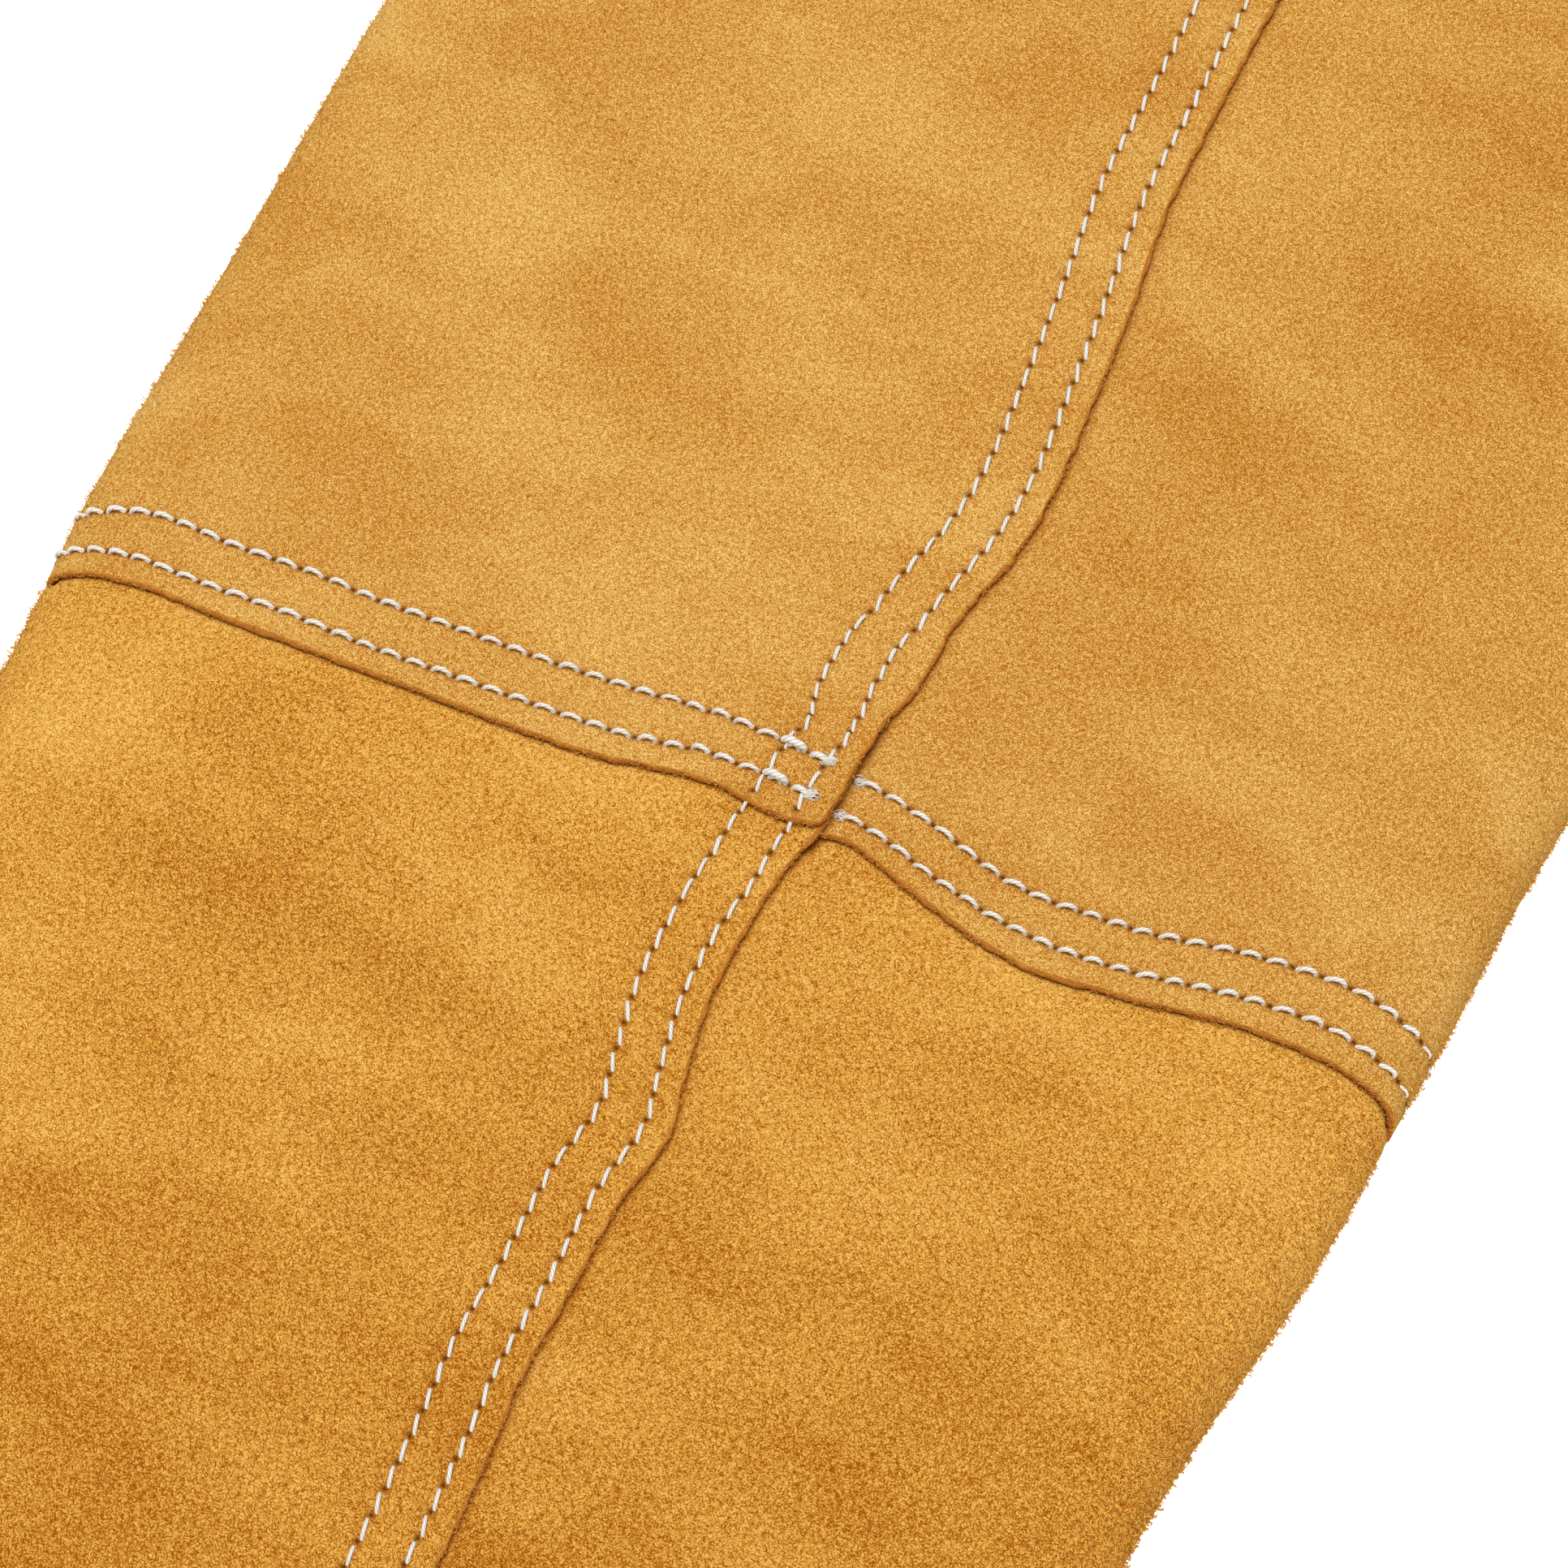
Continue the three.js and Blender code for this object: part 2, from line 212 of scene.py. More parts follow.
# Along, round, length, width and depth of each soft dent or swell, as shares.
DENTS = np.array(
    [
        (0.42, 0.1, 0.07, 0.09, 0.04), (0.6, 0.14, 0.09, 0.08, 0.05), (0.72, 0.06, 0.1, 0.07, -0.04),
        (0.58, 0.9, 0.08, 0.09, 0.04), (0.38, 0.86, 0.1, 0.08, 0.05), (0.28, 0.95, 0.08, 0.1, -0.05),
        (0.2, 0.1, 0.1, 0.1, 0.07), (0.82, 0.88, 0.09, 0.1, 0.07), (0.86, 0.13, 0.08, 0.1, 0.06),
        (0.1, 0.88, 0.08, 0.1, 0.06), (0.45, 0.238, 0.05, 0.05, -0.07), (0.45, 0.765, 0.045, 0.05, 0.08),
        (0.32, 0.235, 0.06, 0.05, -0.05), (0.52, 0.238, 0.03, 0.05, -0.03), (0.12, 0.77, 0.07, 0.06, 0.05),
        (0.88, 0.765, 0.06, 0.06, 0.05), (0.68, 0.765, 0.07, 0.05, -0.03), (0.9, 0.23, 0.06, 0.06, -0.05),
    ]
)


def smooth(x):
    """0 below 0, 1 above 1, and a soft step between."""
    s = np.clip(x, 0, 1)
    return s * s * (3 - 2 * s)


def curve(table, x, period=0):
    """A smooth curve through a table's rows; period wraps the table round on itself."""
    place, value = table[:, 0], table[:, 1]
    if period:
        x = np.mod(x, period)
        place = np.concatenate([place[-2:] - period, place, place[:3] + period])
        value = np.concatenate([value[-2:], value, value[:3]])
    slope = np.zeros(len(place))
    slope[1:-1] = (value[2:] - value[:-2]) / (place[2:] - place[:-2])
    if not period:
        slope[0] = (value[1] - value[0]) / (place[1] - place[0])
        slope[-1] = (value[-1] - value[-2]) / (place[-1] - place[-2])
    i = np.clip(np.searchsorted(place, x, "right") - 1, 0, len(place) - 2)
    span = place[i + 1] - place[i]
    s = np.clip((x - place[i]) / span, 0, 1)
    return (
        (2 * s**3 - 3 * s**2 + 1) * value[i]
        + (s**3 - 2 * s**2 + s) * slope[i] * span
        + (3 * s**2 - 2 * s**3) * value[i + 1]
        + (s**3 - s**2) * slope[i + 1] * span
    )


def taper(sizes, y):
    """The value at y of a size given at the wrist, at the crosswise seam and at the upper arm."""
    s = (y - WRIST_Y) / LENGTH
    m = WRIST_TO_SEAM / LENGTH
    return (
        sizes[0] * (s - m) * (s - 1) / m
        + sizes[1] * s * (s - 1) / (m * (m - 1))
        + sizes[2] * s * (s - m) / (1 - m)
    )


QUARTER_POINTS = 241
OUTLINE_STEPS = 3000


def section_outline(y):
    """The bare section at y, clockwise from the middle of the top in even steps of length, and its girth."""
    half_width = taper(WIDTHS, y) / 2
    height = taper(HEIGHTS, y)
    side = SIDE_HEIGHT_SHARE * height
    flat = FLAT_WIDTH_SHARE * half_width
    a = np.linspace(0, math.pi / 2, QUARTER_POINTS)
    sine, cosine = np.sin(a), np.maximum(np.cos(a), 0)
    x = np.concatenate(
        [
            half_width * sine ** (2 / TOP_FULLNESS),
            flat + (half_width - flat) * cosine[1:] ** (2 / CORNER_FULLNESS),
            [0],
        ]
    )
    z = np.concatenate(
        [
            side + (height - side) * cosine ** (2 / TOP_FULLNESS),
            side - side * sine[1:] ** (2 / CORNER_FULLNESS),
            [0],
        ]
    )
    x = np.concatenate([x, -x[-2::-1]])
    z = np.concatenate([z, z[-2::-1]])
    run = np.concatenate([[0], np.cumsum(np.hypot(np.diff(x), np.diff(z)))])
    even = np.linspace(0, run[-1], OUTLINE_STEPS + 1)
    return np.interp(even, run, x), np.interp(even, run, z), run[-1]


SECTION_Y = np.arange(WRIST_Y - 4, ARM_Y + 5, 1.0)
outlines = [section_outline(y) for y in SECTION_Y]
SECTION_X = np.array([o[0] for o in outlines])
SECTION_Z = np.array([o[1] for o in outlines])
GIRTHS = np.array([o[2] for o in outlines])


def girth(y):
    """The length once round the bare section at y."""
    return np.interp(y, SECTION_Y, GIRTHS)


def edge_length(y):
    """How far round from the middle of the top the lengthwise cut edge lies at y."""
    return WIDTHS[1] * curve(LENGTHWISE_EDGE, (y - WRIST_Y) / LENGTH)


def on_section(place, y):
    """The bare outline's x and z, that length round from the middle of the top."""
    j = np.mod(place / girth(y), 1) * OUTLINE_STEPS
    j0 = np.clip(j.astype(int), 0, OUTLINE_STEPS - 1)
    fj = j - j0
    i = (y - SECTION_Y[0]) / (SECTION_Y[1] - SECTION_Y[0])
    i0 = np.clip(i.astype(int), 0, len(SECTION_Y) - 2)
    fi = i - i0
    out = []
    for grid in (SECTION_X, SECTION_Z):
        near = grid[i0, j0] * (1 - fj) + grid[i0, j0 + 1] * fj
        far = grid[i0 + 1, j0] * (1 - fj) + grid[i0 + 1, j0 + 1] * fj
        out.append(near * (1 - fi) + far * fi)
    return out


# How far each way a slope is felt for, on the outline and on the finished form.
OUTLINE_PROBE = 1.0
FORM_PROBE = 0.8


def bare_point(t, y):
    """The outer face of the bare form, t millimetres clockwise of the lengthwise cut edge."""
    place = edge_length(y) + t
    x, z = on_section(place, y)
    x0, z0 = on_section(place - OUTLINE_PROBE, y)
    x1, z1 = on_section(place + OUTLINE_PROBE, y)
    run = np.hypot(x1 - x0, z1 - z0)
    floor = 1 - smooth(z / FLOOR_BLEND)
    along = (y - WRIST_Y) / LENGTH
    turned = place / girth(y)
    depth = 0
    for at, about, long, wide, deep in DENTS:
        away = turned - about - np.round(turned - about)
        depth = depth + deep * HEIGHTS[1] * np.exp(
            -(((along - at) / long) ** 2) - (away / wide) ** 2
        )
    depth = depth * (1 - floor)
    return np.stack(
        [
            x + (z1 - z0) / run * depth,
            y + 0 * x,
            np.maximum(z - (x1 - x0) / run * depth, 0),
        ],
        -1,
    )


def unit(v):
    """The same directions, each of length 1."""
    return v / np.linalg.norm(v, axis=-1, keepdims=True)


def bare_frame(t, y):
    """The bare form's point, outward normal, and the directions round and along it."""
    around = bare_point(t + FORM_PROBE, y) - bare_point(t - FORM_PROBE, y)
    along = bare_point(t, y + FORM_PROBE) - bare_point(t, y - FORM_PROBE)
    return bare_point(t, y), unit(np.cross(around, along)), unit(around), unit(along)


def crosswise_edge(t_at_seam):
    """Where along the sleeve the crosswise cut edge lies, for a place round the seam."""
    whole = girth(SEAM_Y)
    turned = (edge_length(SEAM_Y) + t_at_seam) / whole
    return SEAM_Y + WIDTHS[1] * curve(CROSSWISE_EDGE, turned, 1)


def lift(panel, t, y, edge_y, z):
    """How far a panel's outer face stands off the bare form, in millimetres."""
    past = y - edge_y
    lap = smooth((t - (girth(y) - LAP - RAMP)) / RAMP)
    on_top = smooth((z / taper(HEIGHTS, y) - TOP_FROM) / TOP_OVER)
    tuck = 1 - (1 - TOP_TUCK) * on_top
    if panel == "upper":
        cross = 1 - smooth((past - LAP) / RAMP)
        return PLY * (cross * (1 - tuck) + lap * (1 + cross))
    ramp = SIDE_STEP + (TOP_STEP - SIDE_STEP) * on_top
    cross = smooth((past + STEP_CLEAR + ramp) / ramp)
    return PLY * (lap * (1 + cross) - cross * tuck)


def surface(panel, t, y, edge_y):
    """The outer face of a panel with its frame: point, normal, direction round and direction along."""
    point, normal, around, along = bare_frame(t, y)
    up_by = lift(panel, t, y, edge_y, point[..., 2])
    return point + normal * up_by[..., None], normal, around, along


# Columns: t = a + b * girth. Fine where the lengthwise lap is, close together round the sides.
open_shares = np.concatenate(
    [
        np.linspace(0, 0.13, 30, endpoint=False),
        np.linspace(0.13, 0.26, 36, endpoint=False),
        np.linspace(0.26, 0.60, 24, endpoint=False),
        np.linspace(0.60, 0.76, 40, endpoint=False),
        np.linspace(0.76, 1.0, 56),
    ]
)[1:-1]
under = np.linspace(-LAP, 0, 9)
climb = np.linspace(-LAP - RAMP, -LAP, 9)[:-1]
over = np.concatenate([climb, np.linspace(-LAP, -1, 10), [-0.5, -0.2, 0]])
COLUMN_A = np.concatenate([under, -open_shares * (LAP + RAMP), over])
COLUMN_B = np.concatenate([0 * under, open_shares, 1 + 0 * over])
COLUMN_EDGE = crosswise_edge(COLUMN_A + COLUMN_B * girth(SEAM_Y))


# Points along the sleeve: wide apart in the middle of a panel, close where the hem starts and at its fold.
FAR_SPACING = 4.5
HEM_CLEAR = 2.0
HEM_POINTS = np.array([-1.5, -0.8, 0, 4, 8, 12])
FOLD_RADIUS = 1.1


def panel_rows(offsets, far, close, spacing):
    """Row recipes (share of the cut edge, millimetres from it, sleeve end), from the seam out to an end."""
    reach = abs(far - (SEAM_Y + offsets[-1]))
    stop = reach - HEM - HEM_CLEAR
    steps = np.concatenate(
        [
            np.arange(spacing, close, spacing),
            np.linspace(close, stop, int((stop - close) / FAR_SPACING)),
            reach - HEM + HEM_POINTS,
            [reach - FOLD_RADIUS],
        ]
    )
    rows = [(1.0, offset, 0.0) for offset in offsets]
    rows += [(1 - step / reach, offsets[-1], far) for step in steps]
    return rows if far > 0 else rows[::-1]


def panel_grid(rows):
    """How far round and how far along every point of a panel lies, in millimetres."""
    share, offset, far = (np.array(v)[:, None] for v in zip(*rows))
    y = share * (COLUMN_EDGE[None, :] + offset) + (1 - share) * far
    return COLUMN_A + COLUMN_B * girth(y), y


def waves(points, seed, size):
    """Smooth wandering values in about -1..1 for points in millimetres; size is their usual length."""
    r = np.random.default_rng(seed)
    total = 0
    for _ in range(6):
        direction = r.normal(size=3)
        direction *= (0.6 + 0.9 * r.random()) * 2 * math.pi / size / np.linalg.norm(direction)
        total = total + np.sin(points @ direction + r.random() * 6.28)
    return total / 2.6


# The seams' two rows of stitches, the inner one first. Along the sleeve: millimetres from the crosswise
# seam, and how far each row lies from the lengthwise cut edge there.
LONG_ROWS = np.array(
    [
        (-280, 9.5, 3.2), (-60, 9.3, 3.0), (-22.8, 9.0, 2.9), (-18, 9.1, 2.6), (-14.2, 9.0, 2.25),
        (-10.4, 9.05, 2.5), (-6.6, 9.6, 3.05), (-3.7, 9.7, 3.3), (-0.5, 9.65, 3.8),
        (3.2, 9.55, 3.6), (7.8, 8.95, 3.0), (10.7, 8.2, 2.6), (13, 8.7, 2.75), (16.5, 9.85, 3.1),
        (20, 10.7, 4.1), (23.3, 11.2, 4.55), (26.3, 11.15, 4.7), (29, 10.7, 4.3), (33, 9.8, 3.4),
        (45, 9.8, 3.5), (60, 9.6, 3.3), (280, 9.5, 3.2),
    ]
)
# Millimetres from the crosswise seam of the stitches near it; the pitch is even beyond them.
LONG_STITCHES = (
    *(-22.4, -17.9, -14.1, -10.3, -6.5, -3.6, -0.5, 3.2, 7.2),
    *(10.7, 13.2, 16.5, 20, 23.3, 26.3, 29.1, 33),
)
LONG_PITCH = 3.8
# Round the sleeve: millimetres from the lengthwise cut edge, and how far each row lies from the crosswise
# edge there.
CROSS_ROWS = np.array(
    [
        (0, 9.0, 3.2), (3, 8.4, 2.65), (7, 8.5, 2.7), (11, 8.9, 2.9), (15, 9.1, 2.9),
        (22, 8.9, 3.3), (29.5, 9.5, 3.65), (35, 10.3, 3.9), (43, 9.9, 3.5), (50, 10.4, 3.8),
        (60, 10.5, 3.8), (69, 10.8, 4.0), (79, 10.3, 3.5), (100, 10, 3.5), (200, 9.8, 3.5),
        (290, 9.8, 3.4), (306, 9.75, 3.3), (318, 10.55, 3.35), (325, 10.3, 3.0),
        (333, 10.4, 3.25), (345, 10.7, 3.5), (355, 10.3, 3.1), (365, 10.45, 3.25),
        (378, 10.75, 3.7), (391, 11.1, 3.9), (398, 10.7, 3.6), (402, 10.0, 3.5), (405, 9.9, 3.8),
        (410, 9.4, 3.5), (416, 9.9, 4.3), (424, 9.5, 3.6),
    ]
)
# The number of the stitch, counted from the lengthwise edge, and its millimetres round the sleeve.
CROSS_STITCHES = np.array(
    [
        (-2, -4.7), (0, 2.9), (4, 18.1), (8, 32.9), (16, 59.7), (22, 82.4),
        (81, 306.7), (92, 352.9), (101, 387), (105, 401), (110, 419.5), (112, 427),
    ]
)
LAST_CROSS_STITCH = 108
CROSS_PITCH = 3.75
HEM_ROWS = (9.9, 3.6)
far_stitches = LONG_PITCH * np.arange(1, 91)
pitch_y = SEAM_Y + np.concatenate(
    [LONG_STITCHES[0] - far_stitches[::-1], LONG_STITCHES, LONG_STITCHES[-1] + far_stitches]
)
whole_girth = float(girth(SEAM_Y))


def long_row_at(row, y):
    """How far a lengthwise row lies from the lengthwise cut edge at y."""
    return curve(LONG_ROWS[:, [0, 1 + row]], y - SEAM_Y) + 0.15 * np.sin(y / 11)


def cross_row_at(row, t_at_seam):
    """How far a crosswise row lies from the crosswise cut edge, that far round."""
    return curve(CROSS_ROWS[:, [0, 1 + row]], np.clip(t_at_seam, 0, whole_girth))


# What a material follows is kept on the mesh as millimetres. Where a row of stitches or a cut edge isn't on
# a face, so much is added that the material finds nothing near.
ELSEWHERE = 1000
END_STRIP = 3.0
HEM_RISE = 1.5
# Share of the thickness, and share of the bulge, for each ring of points on a rounded rim.
RIM = ((0.12, 0.62), (0.3, 0.92), (0.5, 1.0), (0.7, 0.92), (0.88, 0.62))
HEM_BULGE = 1.0
CUT_BULGE = 0.38
RAGGED = 0.2
RAGGED_EVERY = 3.0
# The painted shadow strip beside the lengthwise edge: how far from it the strip starts, and how fast it
# fades there.
EDGE_SHADOW_FROM = 0.2
EDGE_SHADOW_FADE = 0.6
# No crosswise groove runs out over the lengthwise edge: within this strip it is moved too far away to show.
EDGE_STRIP = 1.5
TOO_FAR = 50


def leather_mesh(name, panel, rows, materials):
    """A closed sheet of leather, napped on both faces, with rounded rims in the cut edge's material."""
    t, y = panel_grid(rows)
    edge = np.broadcast_to(COLUMN_EDGE, y.shape)
    face, normal, around, along = surface(panel, t, y, edge)
    hem = smooth((np.abs(y) - (ARM_Y - HEM - HEM_RISE)) / HEM_RISE)
    inner = face - normal * (LEATHER * (1 + hem))[..., None]
    height, width = t.shape
    count = height * width

    # The rim goes once round the sheet and bulges a little between the two faces.
    loop = np.array(
        [(0, j) for j in range(width)]
        + [(i, width - 1) for i in range(1, height)]
        + [(height - 1, j) for j in range(width - 2, -1, -1)]
        + [(i, 0) for i in range(height - 2, 0, -1)]
    )
    li, lj = loop[:, 0], loop[:, 1]
    out = unit(
        along[li, lj] * ((li == height - 1) * 1.0 - (li == 0))[:, None]
        + around[li, lj] * ((lj == width - 1) * 1.0 - (lj == 0))[:, None]
    )
    top, bottom = face[li, lj], inner[li, lj]
    at_hem = np.abs(y[li, lj]) > ARM_Y - END_STRIP
    ragged = CUT_BULGE + RAGGED * waves(top, 5, RAGGED_EVERY)
    reach = np.where(at_hem, HEM_BULGE, ragged)[:, None]
    rim = [top + (bottom - top) * share + out * reach * bulge for share, bulge in RIM]
    vertices = np.concatenate([face.reshape(-1, 3), inner.reshape(-1, 3)] + rim) * MM

    index = np.arange(count).reshape(height, width)
    corners = (index[:-1, :-1], index[:-1, 1:], index[1:, 1:], index[1:, :-1])
    quads = np.stack(corners, -1).reshape(-1, 4)
    faces = [quads, quads[:, ::-1] + count]
    kinds = [np.zeros(2 * len(quads), np.int32)]
    rings = [index[li, lj]]
    rings += [2 * count + k * len(loop) + np.arange(len(loop)) for k in range(len(RIM))]
    rings += [index[li, lj] + count]
    for a, b in zip(rings[:-1], rings[1:]):
        faces.append(np.stack([a, b, np.roll(b, -1), np.roll(a, -1)], -1))
        kinds.append(np.where(at_hem, 0, 1).astype(np.int32))
    faces = np.concatenate(faces)
    mesh = bpy.data.meshes.new(name)
    mesh.from_pydata(vertices.tolist(), [], faces.tolist())
    for material in materials:
        mesh.materials.append(material)
    mesh.polygons.foreach_set("material_index", np.concatenate(kinds))
    mesh.polygons.foreach_set("use_smooth", np.ones(len(faces), bool))

    def spread(values, inside=0):
        """One value for each point of the mesh; inside is added on the inner face and the rim."""
        rim_values = np.tile(values[li, lj] + inside, len(RIM))
        return np.concatenate([values.ravel(), values.ravel() + inside, rim_values])

    # Millimetres from each row of stitches, and stitches counted along the rows: a whole number at each
    # needle hole.
    past = y - edge if panel == "upper" else y - edge + ELSEWHERE
    from_edge = girth(y) - t
    t_at_seam = t * whole_girth / girth(y)
    counted = np.interp(t_at_seam, CROSS_STITCHES[:, 1], CROSS_STITCHES[:, 0])
    facts = {
        "long_stitches": spread(np.interp(y, pitch_y, np.arange(len(pitch_y))) + 0.5),
        "cross_stitches": spread(counted + 0.5),
        "hem_stitches": spread(t / CROSS_PITCH),
    }
    for row in (0, 1):
        beyond = past - cross_row_at(row, t_at_seam)
        beyond = beyond + np.where(from_edge < EDGE_STRIP, TOO_FAR * np.sign(beyond), 0)
        facts["long_row_%d" % row] = spread(from_edge - long_row_at(row, y), ELSEWHERE)
        facts["cross_row_%d" % row] = spread(beyond, ELSEWHERE)
        facts["hem_row_%d" % row] = spread(ARM_Y - np.abs(y) - HEM_ROWS[row], ELSEWHERE)
    # Painted shadow beside the edges that lie over the hide: the lengthwise one, and on the forearm panel
    # also the crosswise one.
    beside = np.maximum(t - EDGE_SHADOW_FROM, 0) * EDGE_SHADOW_FADE
    if panel == "lower":
        beside = np.minimum(beside, np.maximum(edge - y, 0))
    facts["shadow_beside_edge"] = spread(beside, ELSEWHERE)
    rim_depths = np.array([share for share, _ in RIM])[:, None] + np.zeros(len(loop))
    facts["depth"] = np.concatenate([np.zeros(count), np.ones(count), rim_depths.ravel()])
    for fact, values in facts.items():
        attribute = mesh.attributes.new(fact, "FLOAT", "POINT")
        attribute.data.foreach_set("value", values.astype(np.float32))

    # The place on the hide itself, which runs on round the fold of the hem and so to the inner face.
    end = ARM_Y if panel == "upper" else WRIST_Y
    turned_in = 2 * end + math.copysign(2 * LEATHER, end)
    on_rim = y[li, lj] * (1 - rim_depths) + (turned_in - y[li, lj]) * rim_depths
    on_hide = np.concatenate([y.ravel(), (turned_in - y).ravel(), on_rim.ravel()])
    places = np.stack([spread(t), on_hide, 0 * on_hide], -1).astype(np.float32)
    attribute = mesh.attributes.new("hide", "FLOAT_VECTOR", "POINT")
    attribute.data.foreach_set("vector", places.ravel())
    mesh.validate()
    mesh.update()
    piece = bpy.data.objects.new(name, mesh)
    bpy.context.scene.collection.objects.link(piece)
    return piece


# Napped and cut leather have no shine at all.
MATT = {"Diffuse Roughness": 1.0, "Roughness": 1.0, "Specular IOR Level": 0.0}
# How deep the thread presses a groove and the needle a hole, in millimetres.
GROOVE = 0.3
NEEDLE_HOLE = 0.55
# Each layer of creases: how far its pattern is shifted, and its size as a share of a curled fibre's.
CREASE_LAYERS = ((0.0, 0.82), (17.3, 0.68), (41.9, 0.55))
# The forearm's leather is darker towards the wrist from 20 mm below the crosswise seam on, up to a limit.
DARKER_FROM = SEAM_Y - 20
DARKER_PER_MM = 0.0014
MOST_DARKENED = 0.18


def suede(name, dark, middle, light, curl, nap, depth, grain):
    """Split cowhide with a raised nap: to the eye quite matt and golden, and mottled by fine creases between
    curled fibres, darker there partly from the fibres' darker roots and partly from painted shade. curl is
    their size in mm, nap how high they stand, depth how dark the creases are painted and grain how uneven the
    fibres themselves."""
    material, tree = new_material(name)
    node = partial(add, tree)
    hide = node("ShaderNodeAttribute", out="Vector", attribute_name="hide")

    # The patterns by the width in millimetres of their patches, with how many finer ones they hold and how
    # rough.
    seen = {}
    for label, size, detail, rough in (
        ("wander", 0.9 * curl, 1.0, 0.5),
        ("grit", 0.28 * curl, 0.0, 0.5),
        ("tufts", 1.9 * curl, 2.0, 0.6),
        ("sway", 16.0, 1.0, 0.5),
        ("clouds", 55.0, 1.0, 0.5),
    ):
        look = {"Scale": 1 / size, "Detail": detail, "Roughness": rough}
        seen[label] = node("ShaderNodeTexNoise", hide, links=look, noise_dimensions="2D").node.outputs
    grit, tufts, clouds = (seen[label]["Fac"] for label in ("grit", "tufts", "clouds"))

    def joined(operation, values):
        """All the values taken together by one operation."""
        total = values[0]
        for value in values[1:]:
            total = node("ShaderNodeMath", total, value, operation=operation)
        return total

    # Curled fibres lie close together, with short winding creases between them: three layers of creases,
    # each of which opens and closes on its way.
    wander = seen["wander"]["Color"]
    bend = node("ShaderNodeVectorMath", wander, links={"Scale": 0.7 * curl}, operation="SCALE")
    bent = node("ShaderNodeVectorMath", hide, bend, operation="ADD")
    openings = node("ShaderNodeSeparateColor", wander).node.outputs
    creases = []
    for (shift, size), opening in zip(CREASE_LAYERS, openings):
        moved = node("ShaderNodeVectorMath", bent, (shift, shift, 0), operation="ADD")
        look = {"Scale": 1 / (size * curl), "Detail": 0.0, "Roughness": 0.5}
        level = node("ShaderNodeTexNoise", moved, links=look, noise_dimensions="2D")
        away = node("ShaderNodeMath", level, 0.5, operation="SUBTRACT")
        away = node("ShaderNodeMath", away, operation="ABSOLUTE")
        crease = node("ShaderNodeMath", away, -7.0, 1.0, operation="MULTIPLY_ADD", use_clamp=True)
        crease = node("ShaderNodeMath", crease, 1.4, operation="POWER")
        opened = node("ShaderNodeMath", opening, 3.0, -0.8, operation="MULTIPLY_ADD", use_clamp=True)
        creases.append(node("ShaderNodeMath", crease, opened, operation="MULTIPLY"))
    creased = joined("MAXIMUM", creases)
    relief = node("ShaderNodeMath", grit, 1.8, operation="MULTIPLY")
    relief = node("ShaderNodeMath", creased, -1.0, relief, operation="MULTIPLY_ADD")
    relief = node("ShaderNodeMath", tufts, 1.1, relief, operation="MULTIPLY_ADD")

    # The colour: deep in the creases, partly the fibres' darker roots and partly painted shade, and paler
    # where the nap is brushed one way, in long soft swaths.
    brushed = node("ShaderNodeVectorMath", seen["sway"]["Color"], links={"Scale": 16.0}, operation="SCALE")
    brushed = node("ShaderNodeVectorMath", hide, brushed, operation="ADD")
    brushed = node("ShaderNodeVectorMath", brushed, (0.45, 1.0, 1.0), operation="MULTIPLY")
    look = {"Scale": 1 / 17.0, "Detail": 3.0, "Roughness": 0.5}
    swaths = node("ShaderNodeTexNoise", brushed, links=look, noise_dimensions="2D")
    uneven = node("ShaderNodeMath", grit, 0.5, operation="SUBTRACT")
    tone = node("ShaderNodeMath", uneven, grain, operation="MULTIPLY")
    # Darker in the creases: partly the fibres' own darker roots, partly painted shade.
    tone = node("ShaderNodeMath", creased, -depth, tone, operation="MULTIPLY_ADD")
    for pattern, share in ((tufts, 0.12), (swaths, 0.38), (clouds, 0.22)):
        uneven = node("ShaderNodeMath", pattern, 0.5, operation="SUBTRACT")
        tone = node("ShaderNodeMath", uneven, share, tone, operation="MULTIPLY_ADD")
    # Darker towards the wrist.
    along = node("ShaderNodeSeparateXYZ", hide, out="Y")
    darker_toward_wrist = node("ShaderNodeMath", along, DARKER_FROM, operation="SUBTRACT")
    darker_toward_wrist = node("ShaderNodeMath", darker_toward_wrist, 0.0, operation="MINIMUM")
    darker_toward_wrist = node("ShaderNodeMath", darker_toward_wrist, DARKER_PER_MM, operation="MULTIPLY")
    darker_toward_wrist = node("ShaderNodeMath", darker_toward_wrist, -MOST_DARKENED, operation="MAXIMUM")
    tone = node("ShaderNodeMath", tone, darker_toward_wrist, operation="ADD")
    tone = node("ShaderNodeMath", tone, 0.58 + 0.3 * depth, operation="ADD")
    colour = node("ShaderNodeValToRGB", tone, stops=[(0.12, dark), (0.55, middle), (0.9, light)])

